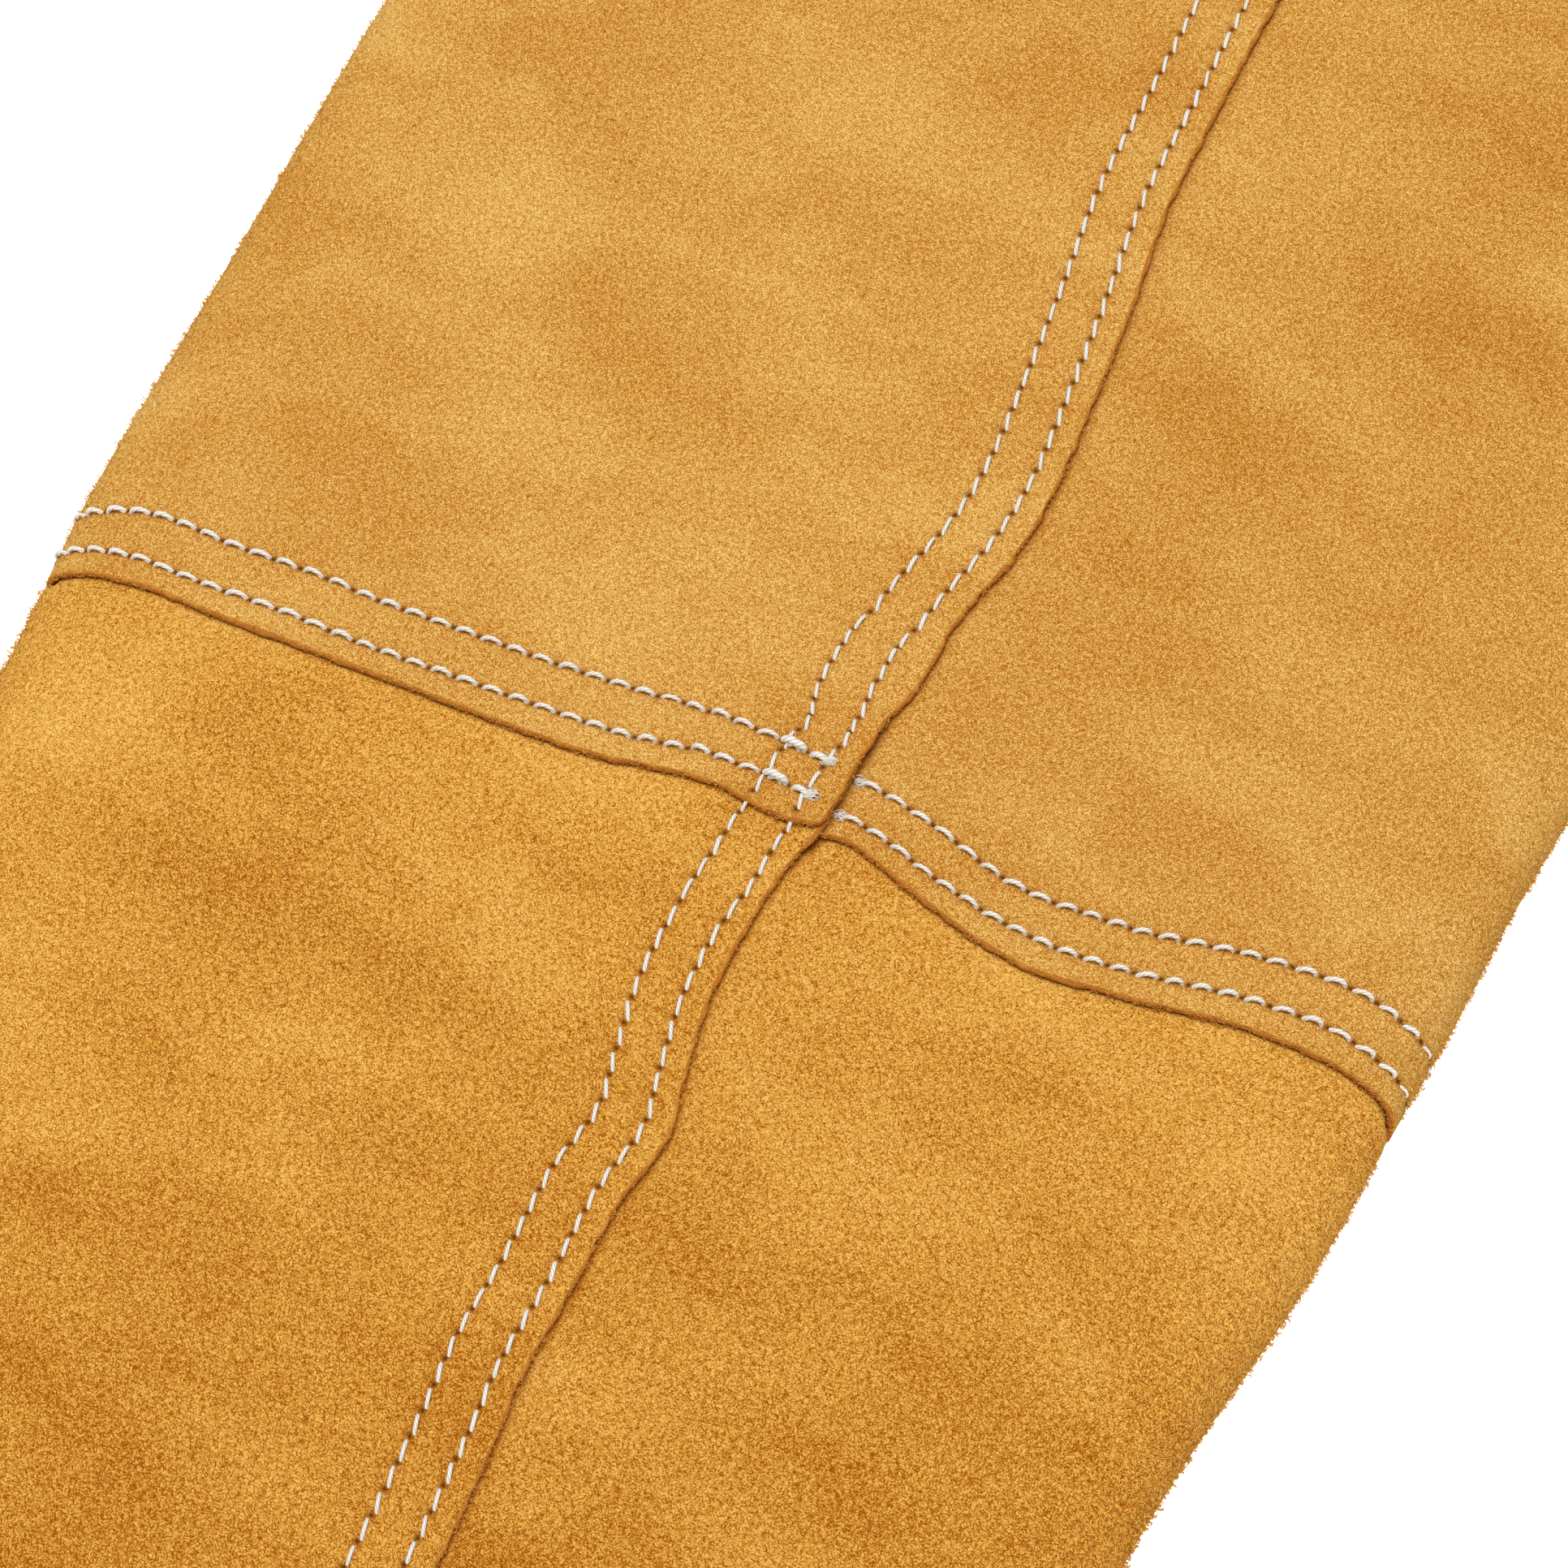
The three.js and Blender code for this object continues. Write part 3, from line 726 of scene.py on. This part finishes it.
    # The seams press a groove along each row of stitches and a hole between each two stitches. Painted shade
    # darkens the holes and a little round them, and a painted shadow the strip beside a cut edge that lies
    # over the hide.
    row_squares, hole_squares = [], []
    for kind, pitch in (("long", LONG_PITCH), ("cross", CROSS_PITCH), ("hem", CROSS_PITCH)):
        for row in (0, 1):
            across = node("ShaderNodeAttribute", out="Fac", attribute_name="%s_row_%d" % (kind, row))
            counted = node("ShaderNodeAttribute", out="Fac", attribute_name=kind + "_stitches")
            square = node("ShaderNodeMath", across, across, operation="MULTIPLY")
            wider = node("ShaderNodeMath", square, 1.3, operation="MULTIPLY")
            reach = node("ShaderNodeMath", counted, 0.5, operation="PINGPONG")
            reach = node("ShaderNodeMath", reach, pitch, operation="MULTIPLY")
            row_squares.append(square)
            hole_squares.append(node("ShaderNodeMath", reach, reach, wider, operation="MULTIPLY_ADD"))
    row_square = joined("MINIMUM", row_squares)
    hole_square = joined("MINIMUM", hole_squares)
    beside = node("ShaderNodeAttribute", out="Fac", attribute_name="shadow_beside_edge")
    beside_square = node("ShaderNodeMath", beside, beside, operation="MULTIPLY")

    def fading(square, sharpness):
        """1 where the squared distance is nothing, and less the further away."""
        power = node("ShaderNodeMath", square, -sharpness, operation="MULTIPLY")
        return node("ShaderNodeMath", power, operation="EXPONENT")

    pressed = fading(row_square, 0.45)
    # Painted shade in the needle holes and a little round them.
    holed = fading(hole_square, 5.0)
    hole_shade = node("ShaderNodeMath", fading(hole_square, 0.8), 0.4, operation="MULTIPLY")
    # Painted shadow beside an edge that lies over the hide.
    edge_shadow = node("ShaderNodeMath", fading(beside_square, 4.0), 0.75, operation="MULTIPLY")
    for share, code in ((edge_shadow, "#a85a10"), (hole_shade, "#a45a16"), (holed, "#6a3006")):
        links = {0: share, 6: colour, 7: linear(code)}
        colour = node("ShaderNodeMix", links=links, out=2, data_type="RGBA")
    height = node("ShaderNodeMath", relief, nap, operation="MULTIPLY")
    height = node("ShaderNodeMath", pressed, -GROOVE, height, operation="MULTIPLY_ADD")
    height = node("ShaderNodeMath", holed, -NEEDLE_HOLE, height, operation="MULTIPLY_ADD")
    bump = node("ShaderNodeBump", links={"Height": height, "Distance": MM, "Strength": 1.0})
    finish_material(tree, {"Base Color": colour, "Normal": bump, **MATT})
    return material


def cut_edge(name):
    """The raw cut through the hide: to the eye a golden fringe of nap at its outer rim, then loose brown
    layers of fibre, and dark brown at the inner face, a painted shade of the crevice under the edge. The
    fibres are drawn about 0.4 mm apart, coarse enough to show."""
    material, tree = new_material(name)
    node = partial(add, tree)
    place = node("ShaderNodeTexCoord", out="Object")
    mm = node("ShaderNodeVectorMath", place, links={"Scale": 1 / MM}, operation="SCALE")
    depth = node("ShaderNodeAttribute", out="Fac", attribute_name="depth")
    fibre = node("ShaderNodeTexNoise", mm, links={"Scale": 2.6, "Detail": 3.0, "Roughness": 0.7})
    lump = node("ShaderNodeTexNoise", mm, links={"Scale": 0.45, "Detail": 1.0})
    both = node("ShaderNodeMath", fibre, lump, operation="ADD")
    tone = node("ShaderNodeMath", both, 0.9, depth, operation="MULTIPLY_ADD")
    tone = node("ShaderNodeMath", tone, 0.7, operation="SUBTRACT")
    # The last, dark brown stop at the inner face is painted shade of the crevice under the edge.
    layers = [(0.15, "#d29440"), (0.4, "#bc7228"), (0.75, "#c98a40"), (1.0, "#7a400c")]
    colour = node("ShaderNodeValToRGB", tone, stops=layers)
    bump = node("ShaderNodeBump", links={"Height": fibre, "Distance": 0.3 * MM, "Strength": 1.0})
    finish_material(tree, {"Base Color": colour, "Normal": bump, **MATT})
    return material


# The spacing of the points along a panel near its cut edge, and how far out from there they stay close.
ROW_SPACING = 1.6
UPPER_CLOSE = 145.0
LOWER_CLOSE = 135.0
upper_offsets = np.linspace(0, LAP + RAMP, 21)
upper_rows = panel_rows(upper_offsets, ARM_Y, UPPER_CLOSE, ROW_SPACING)
fine_nap = {"curl": 0.7, "nap": 0.1, "depth": 0.72, "grain": 0.8}
upper_suede = suede("golden_split_suede_fine", "#b0620f", "#d8a249", "#eecb80", **fine_nap)
raw_edge = cut_edge("raw_cut_edge")
upper_panel = leather_mesh("upper_arm_leather", "upper", upper_rows, [upper_suede, raw_edge])
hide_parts("upper_arm_panel")
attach(upper_panel, "root")


# The forearm panel: a second piece of the same hide, a little coarser and longer in the nap, wrapped and
# lapped in the same way. Its upper edge is tucked under the upper-arm panel at the crosswise seam.
TUCKED_EDGE = 10.0
lower_offsets = np.linspace(LAP, -TUCKED_EDGE, 21)
lower_rows = panel_rows(lower_offsets, WRIST_Y, LOWER_CLOSE, ROW_SPACING)
coarse_nap = {"curl": 0.84, "nap": 0.095, "depth": 0.72, "grain": 0.7}
lower_suede = suede("golden_split_suede_coarse", "#a4560a", "#dda442", "#edc470", **coarse_nap)
lower_panel = leather_mesh("forearm_leather", "lower", lower_rows, [lower_suede, raw_edge])
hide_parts("forearm_panel")
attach(lower_panel, "root")

# Each hide's cut length, with the hem and, on the forearm panel, a lap more for its tucked edge: it is worked
# out here and not kept.
for piece, far in ((upper_panel, ARM_Y), (lower_panel, WRIST_Y)):
    long = abs(far - SEAM_Y) + HEM + (LAP if piece is lower_panel else 0)


# The stitching: two rows along each seam and each hem in thick off-white thread, three plies twisted
# together. Each stitch arches from hole to hole and lies a little askew, and a lockstitch machine sews both
# rows side by side.
THREAD = 0.34
PLIES = 3
TWIST_PER_MM = 4.4

# Bonded twisted thread: to the eye off-white with a slight gloss, with painted shade as grey slanted lines
# in the grooves between plies.
twisted_thread, tree = new_material("bonded_twisted_thread")
ring = add(tree, "ShaderNodeAttribute", out="Vector", attribute_name="ring")
way = add(tree, "ShaderNodeAttribute", out="Fac", attribute_name="way")
ring = add(tree, "ShaderNodeSeparateXYZ", ring).node.outputs
turn = add(tree, "ShaderNodeMath", ring[1], ring[0], operation="ARCTAN2")
turn = add(tree, "ShaderNodeMath", turn, PLIES / 2, operation="MULTIPLY")
turn = add(tree, "ShaderNodeMath", way, TWIST_PER_MM, turn, operation="MULTIPLY_ADD")
ply = add(tree, "ShaderNodeMath", turn, operation="SINE")
ply = add(tree, "ShaderNodeMath", ply, operation="ABSOLUTE")
# Grey in the grooves between the plies: painted shade, beside the bump.
ply_grooves_shaded = add(tree, "ShaderNodeValToRGB", ply, stops=[(0.0, "#b8aeaa"), (0.3, "#e2dcd8"), (0.8, "#f0ecea")])
bump = add(tree, "ShaderNodeBump", links={"Height": ply, "Distance": 0.1 * MM, "Strength": 0.7})
glossy = {"Roughness": 0.5, "Specular IOR Level": 0.35, "Sheen Weight": 0.1}
finish_material(tree, {"Base Color": ply_grooves_shaded, "Normal": bump, **glossy})


def node_tree(name, inputs):
    """A Geometry Nodes tree with a geometry input and output and the named number inputs."""
    tree = bpy.data.node_groups.new(name, "GeometryNodeTree")
    tree.interface.new_socket("Geometry", in_out="INPUT", socket_type="NodeSocketGeometry")
    tree.interface.new_socket("Geometry", in_out="OUTPUT", socket_type="NodeSocketGeometry")
    for label, value in inputs.items():
        kind = "NodeSocketInt" if isinstance(value, int) else "NodeSocketFloat"
        socket = tree.interface.new_socket(label, in_out="INPUT", socket_type=kind)
        socket.default_value = value
    return tree, tree.nodes.new("NodeGroupInput").outputs, tree.nodes.new("NodeGroupOutput").inputs


def grown(carrier, tree, name, values):
    """What the tree grows on the carrier's points, as a plain mesh piece."""
    modifier = carrier.modifiers.new(name, "NODES")
    modifier.node_group = tree
    for item in tree.interface.items_tree:
        if item.in_out == "INPUT" and item.name in values:
            modifier[item.identifier] = values[item.name]
    graph = bpy.context.evaluated_depsgraph_get()
    mesh = bpy.data.meshes.new_from_object(carrier.evaluated_get(graph))
    carrier.modifiers.remove(modifier)
    mesh.name = name
    piece = bpy.data.objects.new(name, mesh)
    bpy.context.scene.collection.objects.link(piece)
    return piece


# The share of its thickness that a strand loses at its ends.
SLIM_ENDS = 0.55


def strand_tree(name, material):
    """Grows a bent strand on every point, with attributes run (its way), out (its bulging side) and size."""
    sizes = {"Radius": 0.4 * MM, "Length": 3 * MM, "Arch": 0.4 * MM, "Dive": 0.8 * MM, "Rings": 9, "Sides": 6}
    tree, given, result = node_tree(name, sizes)
    node = partial(add, tree)
    run, out, size = (
        node("GeometryNodeInputNamedAttribute", label, data_type="FLOAT_VECTOR")
        for label in ("run", "out", "size")
    )

    # Its line arches in the middle and dives into the leather at both ends, deeper at the far one.
    line = node("GeometryNodeCurvePrimitiveLine", links={"Start": (-0.5, 0, 0), "End": (0.5, 0, 0)})
    line = node("GeometryNodeResampleCurve", links={"Curve": line, "Count": given["Rings"]})
    here = node("GeometryNodeInputPosition")
    where = node("ShaderNodeSeparateXYZ", here)
    length_in_mm = node("ShaderNodeMath", given["Length"], 1 / MM, operation="MULTIPLY")
    way = node("ShaderNodeMath", where, length_in_mm, operation="MULTIPLY")
    links = {"Geometry": line, "Name": "way", "Value": way}
    line = node("GeometryNodeStoreNamedAttribute", links=links, data_type="FLOAT", domain="POINT")
    half_way = node("ShaderNodeMath", where, 2.0, operation="MULTIPLY")
    squared = node("ShaderNodeMath", half_way, half_way, operation="MULTIPLY")
    bow = node("ShaderNodeMath", 1.0, squared, operation="SUBTRACT")
    rise = node("ShaderNodeMath", bow, given["Arch"], operation="MULTIPLY")
    lean = node("ShaderNodeMath", half_way, 2.0, operation="ADD")
    lean = node("ShaderNodeMath", lean, 0.5, operation="MULTIPLY")
    drop = node("ShaderNodeMath", squared, squared, operation="MULTIPLY")
    drop = node("ShaderNodeMath", drop, lean, operation="MULTIPLY")
    drop = node("ShaderNodeMath", drop, given["Dive"], operation="MULTIPLY")
    rise = node("ShaderNodeMath", rise, drop, operation="SUBTRACT")
    ahead = node("ShaderNodeMath", where, given["Length"], operation="MULTIPLY")
    spot = node("ShaderNodeCombineXYZ", links={"X": ahead, "Z": rise})
    slim = node("ShaderNodeMath", squared, SLIM_ENDS, operation="MULTIPLY")
    slim = node("ShaderNodeMath", 1.0, slim, operation="SUBTRACT")
    line = node("GeometryNodeSetPosition", links={"Geometry": line, "Position": spot})
    line = node("GeometryNodeSetCurveRadius", links={"Curve": line, "Radius": slim})

    # Its round section keeps where each point lies on the ring, for the lines between the plies.
    circle = node("GeometryNodeCurvePrimitiveCircle", links={"Resolution": given["Sides"], "Radius": 1.0})
    links = {"Geometry": circle, "Name": "ring", "Value": here}
    circle = node("GeometryNodeStoreNamedAttribute", links=links, data_type="FLOAT_VECTOR", domain="POINT")
    thick = node("ShaderNodeVectorMath", here, links={"Scale": given["Radius"]}, operation="SCALE")
    circle = node("GeometryNodeSetPosition", links={"Geometry": circle, "Position": thick})
    tube = node("GeometryNodeCurveToMesh", links={"Curve": line, "Profile Curve": circle, "Fill Caps": True})
    aim = node("FunctionNodeAlignRotationToVector", links={"Vector": run}, axis="X")
    links = {"Rotation": aim, "Vector": out}
    aim = node("FunctionNodeAlignRotationToVector", links=links, axis="Z", pivot_axis="X")
    links = {"Points": given["Geometry"], "Instance": tube, "Rotation": aim, "Scale": size}
    strands = node("GeometryNodeInstanceOnPoints", links=links)
    strands = node("GeometryNodeRealizeInstances", strands)
    strands = node("GeometryNodeSetShadeSmooth", strands, links={"Shade Smooth": True})
    strands = node("GeometryNodeSetMaterial", links={"Geometry": strands, "Material": material})
    tree.links.new(strands, result[0])
    return tree


def grow(name, tree, rows, slot, **sizes):
    """One strand for each of the rows' places: where, which way it runs, where it bulges, and its scale."""
    points, run, out, scale = (np.concatenate(v).astype(np.float32) for v in zip(*rows))
    mesh = bpy.data.meshes.new(name + "_places")
    mesh.from_pydata((points * MM).tolist(), [], [])
    for label, values in (("run", run), ("out", out), ("size", scale)):
        attribute = mesh.attributes.new(label, "FLOAT_VECTOR", "POINT")
        attribute.data.foreach_set("vector", values.ravel())
    carrier = bpy.data.objects.new(name + "_places", mesh)
    bpy.context.scene.collection.objects.link(carrier)
    values = {label: size if isinstance(size, int) else size * MM for label, size in sizes.items()}
    piece = grown(carrier, tree, name, values)
    bpy.data.objects.remove(carrier)
    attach(piece, "root")


def seat(panel, t, y):
    """Points of a panel's outer face, with its outward normal."""
    return surface(panel, t, y, crosswise_edge(t * whole_girth / girth(y)))[:2]


# Stitches stay this far from the sleeve's ends, from the crosswise edge and from the lengthwise lap.
END_GAP = 2.5
EDGE_GAP = 0.6
LAP_GAP = 3
# How the stitches slant from their row, how much they differ in that, in degrees, and how much in length,
# thickness and height, as shares.
LONG_SLANT = 10
CROSS_SLANT = 5
ASKEW = 3.0
UNEVEN = (0.035, 0.05, 0.07)


def laid(point, ahead, normal, slant, seed, length=1.0, thick=1.0):
    """Stitches at the points, each turned a little from its row and none quite like its neighbour. Round the
    sides they lie shorter, flatter and deeper in the nap."""
    r = np.random.default_rng(seed)
    run = unit(ahead - point)
    lean = np.radians(slant + r.normal(0, ASKEW, len(run)))[:, None]
    run = run * np.cos(lean) + np.cross(normal, run) * np.sin(lean)
    spread = r.normal(1, UNEVEN, (len(run), 3))
    upward = normal[:, 2]
    flat = 0.2 + 0.8 * smooth(upward / 0.9)
    length = length * (0.82 + 0.18 * smooth(upward / 0.95))
    scale = spread * np.stack([length, thick * (0.45 + 0.55 * flat), thick * flat], -1)
    sunk = 0.14 * smooth((0.6 - upward) / 0.5) + 0.1 * smooth((-0.4 - upward) / 0.4)
    return point - normal * sunk[:, None], run, normal, scale


def long_row(row, seed):
    """One lengthwise row: on the upper-arm panel down to the crosswise edge, and below it on the other."""
    y = pitch_y[(pitch_y > WRIST_Y + END_GAP) & (pitch_y < ARM_Y - END_GAP)]
    length = np.gradient(y) / LONG_PITCH
    t = girth(y) - long_row_at(row, y)
    ahead = girth(y + 1) - long_row_at(row, y + 1)
    over = y > crosswise_edge(t * whole_girth / girth(y)) + EDGE_GAP
    rows = []
    for panel, chosen in (("upper", over), ("lower", ~over)):
        point, normal = seat(panel, t[chosen], y[chosen])
        further, _ = seat(panel, ahead[chosen], y[chosen] + 1)
        rows.append(laid(point, further, normal, LONG_SLANT, seed + (panel == "lower"), length[chosen]))
    return rows


def cross_place(t, row):
    """Where a crosswise row passes, t millimetres round from the lengthwise cut edge."""
    y = crosswise_edge(t) + cross_row_at(row, t)
    return seat("upper", t * girth(y) / whole_girth, y)


def cross_row(row, seed):
    """One crosswise row, once round from under the lap to the back-tack near the lengthwise edge."""
    t = np.interp(np.arange(LAST_CROSS_STITCH + 1), CROSS_STITCHES[:, 0], CROSS_STITCHES[:, 1])
    point, normal = cross_place(t, row)
    ahead, _ = cross_place(t + 1, row)
    return laid(point, ahead, normal, CROSS_SLANT, seed, np.gradient(t) / CROSS_PITCH)


def hem_row(panel, end, row, seed):
    """One hem row, once round an end."""
    y = end * (ARM_Y - HEM_ROWS[row])
    count = int((float(girth(y)) - LAP_GAP) / CROSS_PITCH)
    t = (np.arange(1, count) + 0.5) * CROSS_PITCH
    y = np.full_like(t, y)
    point, normal = seat(panel, t, y)
    ahead, _ = seat(panel, t + 1, y)
    return laid(point, ahead, normal, CROSS_SLANT, seed)


thread_tree = strand_tree("twisted_stitches", twisted_thread)
flat_stitch = {"Radius": 0.85 * THREAD, "Length": 3.3, "Arch": 0.4, "Dive": 0.9}
arched_stitch = {"Radius": THREAD, "Length": 3.1, "Arch": 0.8, "Dive": 1.1}
rows = long_row(0, 11) + long_row(1, 13)
grow("lengthwise_stitches", thread_tree, rows, "thread", **flat_stitch)
rows = [cross_row(0, 31), cross_row(1, 32)]
grow("crosswise_stitches", thread_tree, rows, "thread", **arched_stitch)
hems = (("upper", 1, 0, 41), ("upper", 1, 1, 42), ("lower", -1, 0, 43), ("lower", -1, 1, 44))
rows = [hem_row(*hem) for hem in hems]
grow("hem_stitches", thread_tree, rows, "thread", **arched_stitch)


# The back-tacks: at its end each crosswise row is sewn back over itself in the same thread, so that its last
# stitches lie double and thick. A row is a stitch's place round the sleeve, thickness, length, slant, height.
BACK_TACKS = (
    (415.6, 1.25, 1.0, 0, 0.3),
    (416.3, 1.2, 0.9, 12, 0.25),
    (419.5, 1.05, 0.85, -4, 0.05),
)
rows = []
for row in (0, 1):
    for place, thick, long, slant, raised in BACK_TACKS:
        t = np.array([place])
        point, normal = cross_place(t, row)
        ahead, _ = cross_place(t + 1, row)
        rows.append(laid(point + normal * raised, ahead, normal, slant, 61 + row, long, thick))
thick_stitch = {"Radius": 1.3 * THREAD, "Length": 3.0, "Arch": 0.7, "Dive": 0.9}
grow("back_tacks", thread_tree, rows, "thread", **thick_stitch)


# The frayed ends: the cut thread opens into its fine filaments on both sides of the lengthwise edge. Each
# end is given by its place round the sleeve, the way it points, its filaments' length and their number.
FRAYED_ENDS = ((420.8, 1, 1.8, 80), (1.2, -1, 1.2, 36))

# Loose filaments of the thread: to the eye soft and almost pure white, without the plies' grey lines.
loose_filament, tree = new_material("loose_thread_filament")
finish_material(tree, {"Base Color": linear("#fdf8f0"), "Roughness": 0.8})
filament_tree = strand_tree("loose_filaments", loose_filament)

rows = []
r = np.random.default_rng(71)
for row in (0, 1):
    for start, way, longest, many in FRAYED_ENDS:
        t = start + r.normal(0, 0.28, many)
        point, normal = cross_place(t, row)
        ahead, _ = cross_place(t + 1, row)
        run = unit(ahead - point) * way
        side = np.cross(normal, run)
        run = run + side * r.normal(0, 0.55, (many, 1)) + normal * r.normal(0.1, 0.2, (many, 1))
        point = point + side * r.normal(0, 0.3, (many, 1)) + normal * (0.2 + 0.3 * r.random((many, 1)))
        length = longest * (0.5 + 0.6 * r.random(many))
        scale = np.stack([length, 0.8 + 0.4 * r.random(many), 0.6 + r.random(many)], -1)
        rows.append((point, unit(run), unit(r.normal(0, 1, (many, 3))), scale))
fine_strand = {"Radius": 0.03, "Length": 1.0, "Arch": 0.22, "Dive": 0.0, "Rings": 5, "Sides": 3}
grow("frayed_ends", filament_tree, rows, "thread", **fine_strand)


# The fuzz: loose leather fibres that stand out of the raw cut edges, where the knife has opened the hide.
# They are part of the leather, and only their free ends are made.
CROSSWISE_FUZZ = 3600
UPPER_FUZZ = 700
LOWER_FUZZ = 1100

# Loose leather fibre: to the eye a matt orange-brown thread, paler than the cut behind it.
loose_fibre, tree = new_material("loose_leather_fibre")
finish_material(tree, {"Base Color": linear("#e09c48"), "Roughness": 1.0, "Specular IOR Level": 0.0})
fibre_tree = strand_tree("loose_fibres", loose_fibre)


def edge_fuzz(panel, t, y, outward, seed):
    """Fibres on a cut edge at the given places; outward is the way out of the leather."""
    r = np.random.default_rng(seed)
    many = len(t)
    point, normal = seat(panel, t, y)
    ahead = np.cross(normal, outward)
    run = ahead * r.normal(0, 0.9, (many, 1)) + normal * r.normal(-0.1, 0.5, (many, 1))
    run = unit(run + outward * r.random((many, 1)) * 0.8)
    length = 0.3 + 0.7 * r.random(many) ** 2
    deep = LEATHER * (r.random((many, 1)) ** 1.6 * 0.8 + 0.02)
    start = point - normal * deep + outward * (0.16 + 0.1 * r.random((many, 1)))
    scale = np.stack([length, 0.6 + 0.8 * r.random(many), 0.4 + 1.2 * r.random(many)], -1)
    bulge = unit(outward + r.normal(0, 0.6, (many, 3)))
    above_table = normal[:, 2] > -0.8
    return [values[above_table] for values in (start + run * length[:, None] * 0.2, run, bulge, scale)]


r = np.random.default_rng(81)
t = r.random(CROSSWISE_FUZZ) * whole_girth
y = crosswise_edge(t)
t = t * girth(y) / whole_girth
rows = [edge_fuzz("upper", t, y, -surface("upper", t, y, y)[3], 82)]
upper_y = SEAM_Y + (ARM_Y - SEAM_Y) * r.random(UPPER_FUZZ)
lower_y = SEAM_Y - (SEAM_Y - WRIST_Y) * r.random(LOWER_FUZZ)
for panel, y, seed in (("upper", upper_y, 83), ("lower", lower_y, 84)):
    around = surface(panel, girth(y), y, crosswise_edge(girth(y)))[2]
    rows.append(edge_fuzz(panel, girth(y), y, around, seed))
short_strand = {"Radius": 0.055, "Length": 1.0, "Arch": 0.25, "Dive": 0.0, "Rings": 3, "Sides": 3}
grow("cut_edge_fuzz", fibre_tree, rows, "suede", **short_strand)


# The raised nap round both folded sides: curled fibres of the suede itself, rubbed up by handling. They are
# only seen against the light, where they make the outline rough.
SIDE_SHARE = float(np.argmax(section_outline(SEAM_Y)[0])) / OUTLINE_STEPS

# Raised suede nap: to the eye a matt golden fringe, the colour of the leather it stands on.
raised_nap, tree = new_material("raised_suede_nap")
finish_material(tree, {"Base Color": linear("#e6b05a"), "Roughness": 1.0, "Specular IOR Level": 0.0})
nap_tree = strand_tree("raised_fibres", raised_nap)


def side_nap(panel, many, longest, seed):
    """Fibres standing on a panel's two sides."""
    r = np.random.default_rng(seed)
    low, high = (SEAM_Y + 6, ARM_Y - 1) if panel == "upper" else (WRIST_Y + 1, SEAM_Y - 2)
    y = low + (high - low) * r.random(many)
    share = np.where(r.random(many) < 0.5, SIDE_SHARE, 1 - SIDE_SHARE) + 0.012 * r.normal(0, 1, many)
    t = np.mod(share * girth(y) - edge_length(y), girth(y) - 0.5)
    point, normal = seat(panel, t, y)
    run = unit(normal + r.normal(0, 0.65, (many, 3)))
    length = 0.3 + longest * r.random(many) ** 5
    scale = np.stack([length, 0.5 + 0.5 * r.random(many), 0.4 + 1.2 * r.random(many)], -1)
    return point + run * length[:, None] * 0.4, run, unit(r.normal(0, 1, (many, 3))), scale


curled_strand = {"Radius": 0.12, "Length": 1.0, "Arch": 0.3, "Dive": 0.0, "Rings": 3, "Sides": 3}
for panel, many, longest, seed in (("upper", 9000, 0.5, 91), ("lower", 11000, 0.7, 92)):
    rows = [side_nap(panel, many, longest, seed)]
    grow(panel + "_side_nap", nap_tree, rows, "suede", **curled_strand)
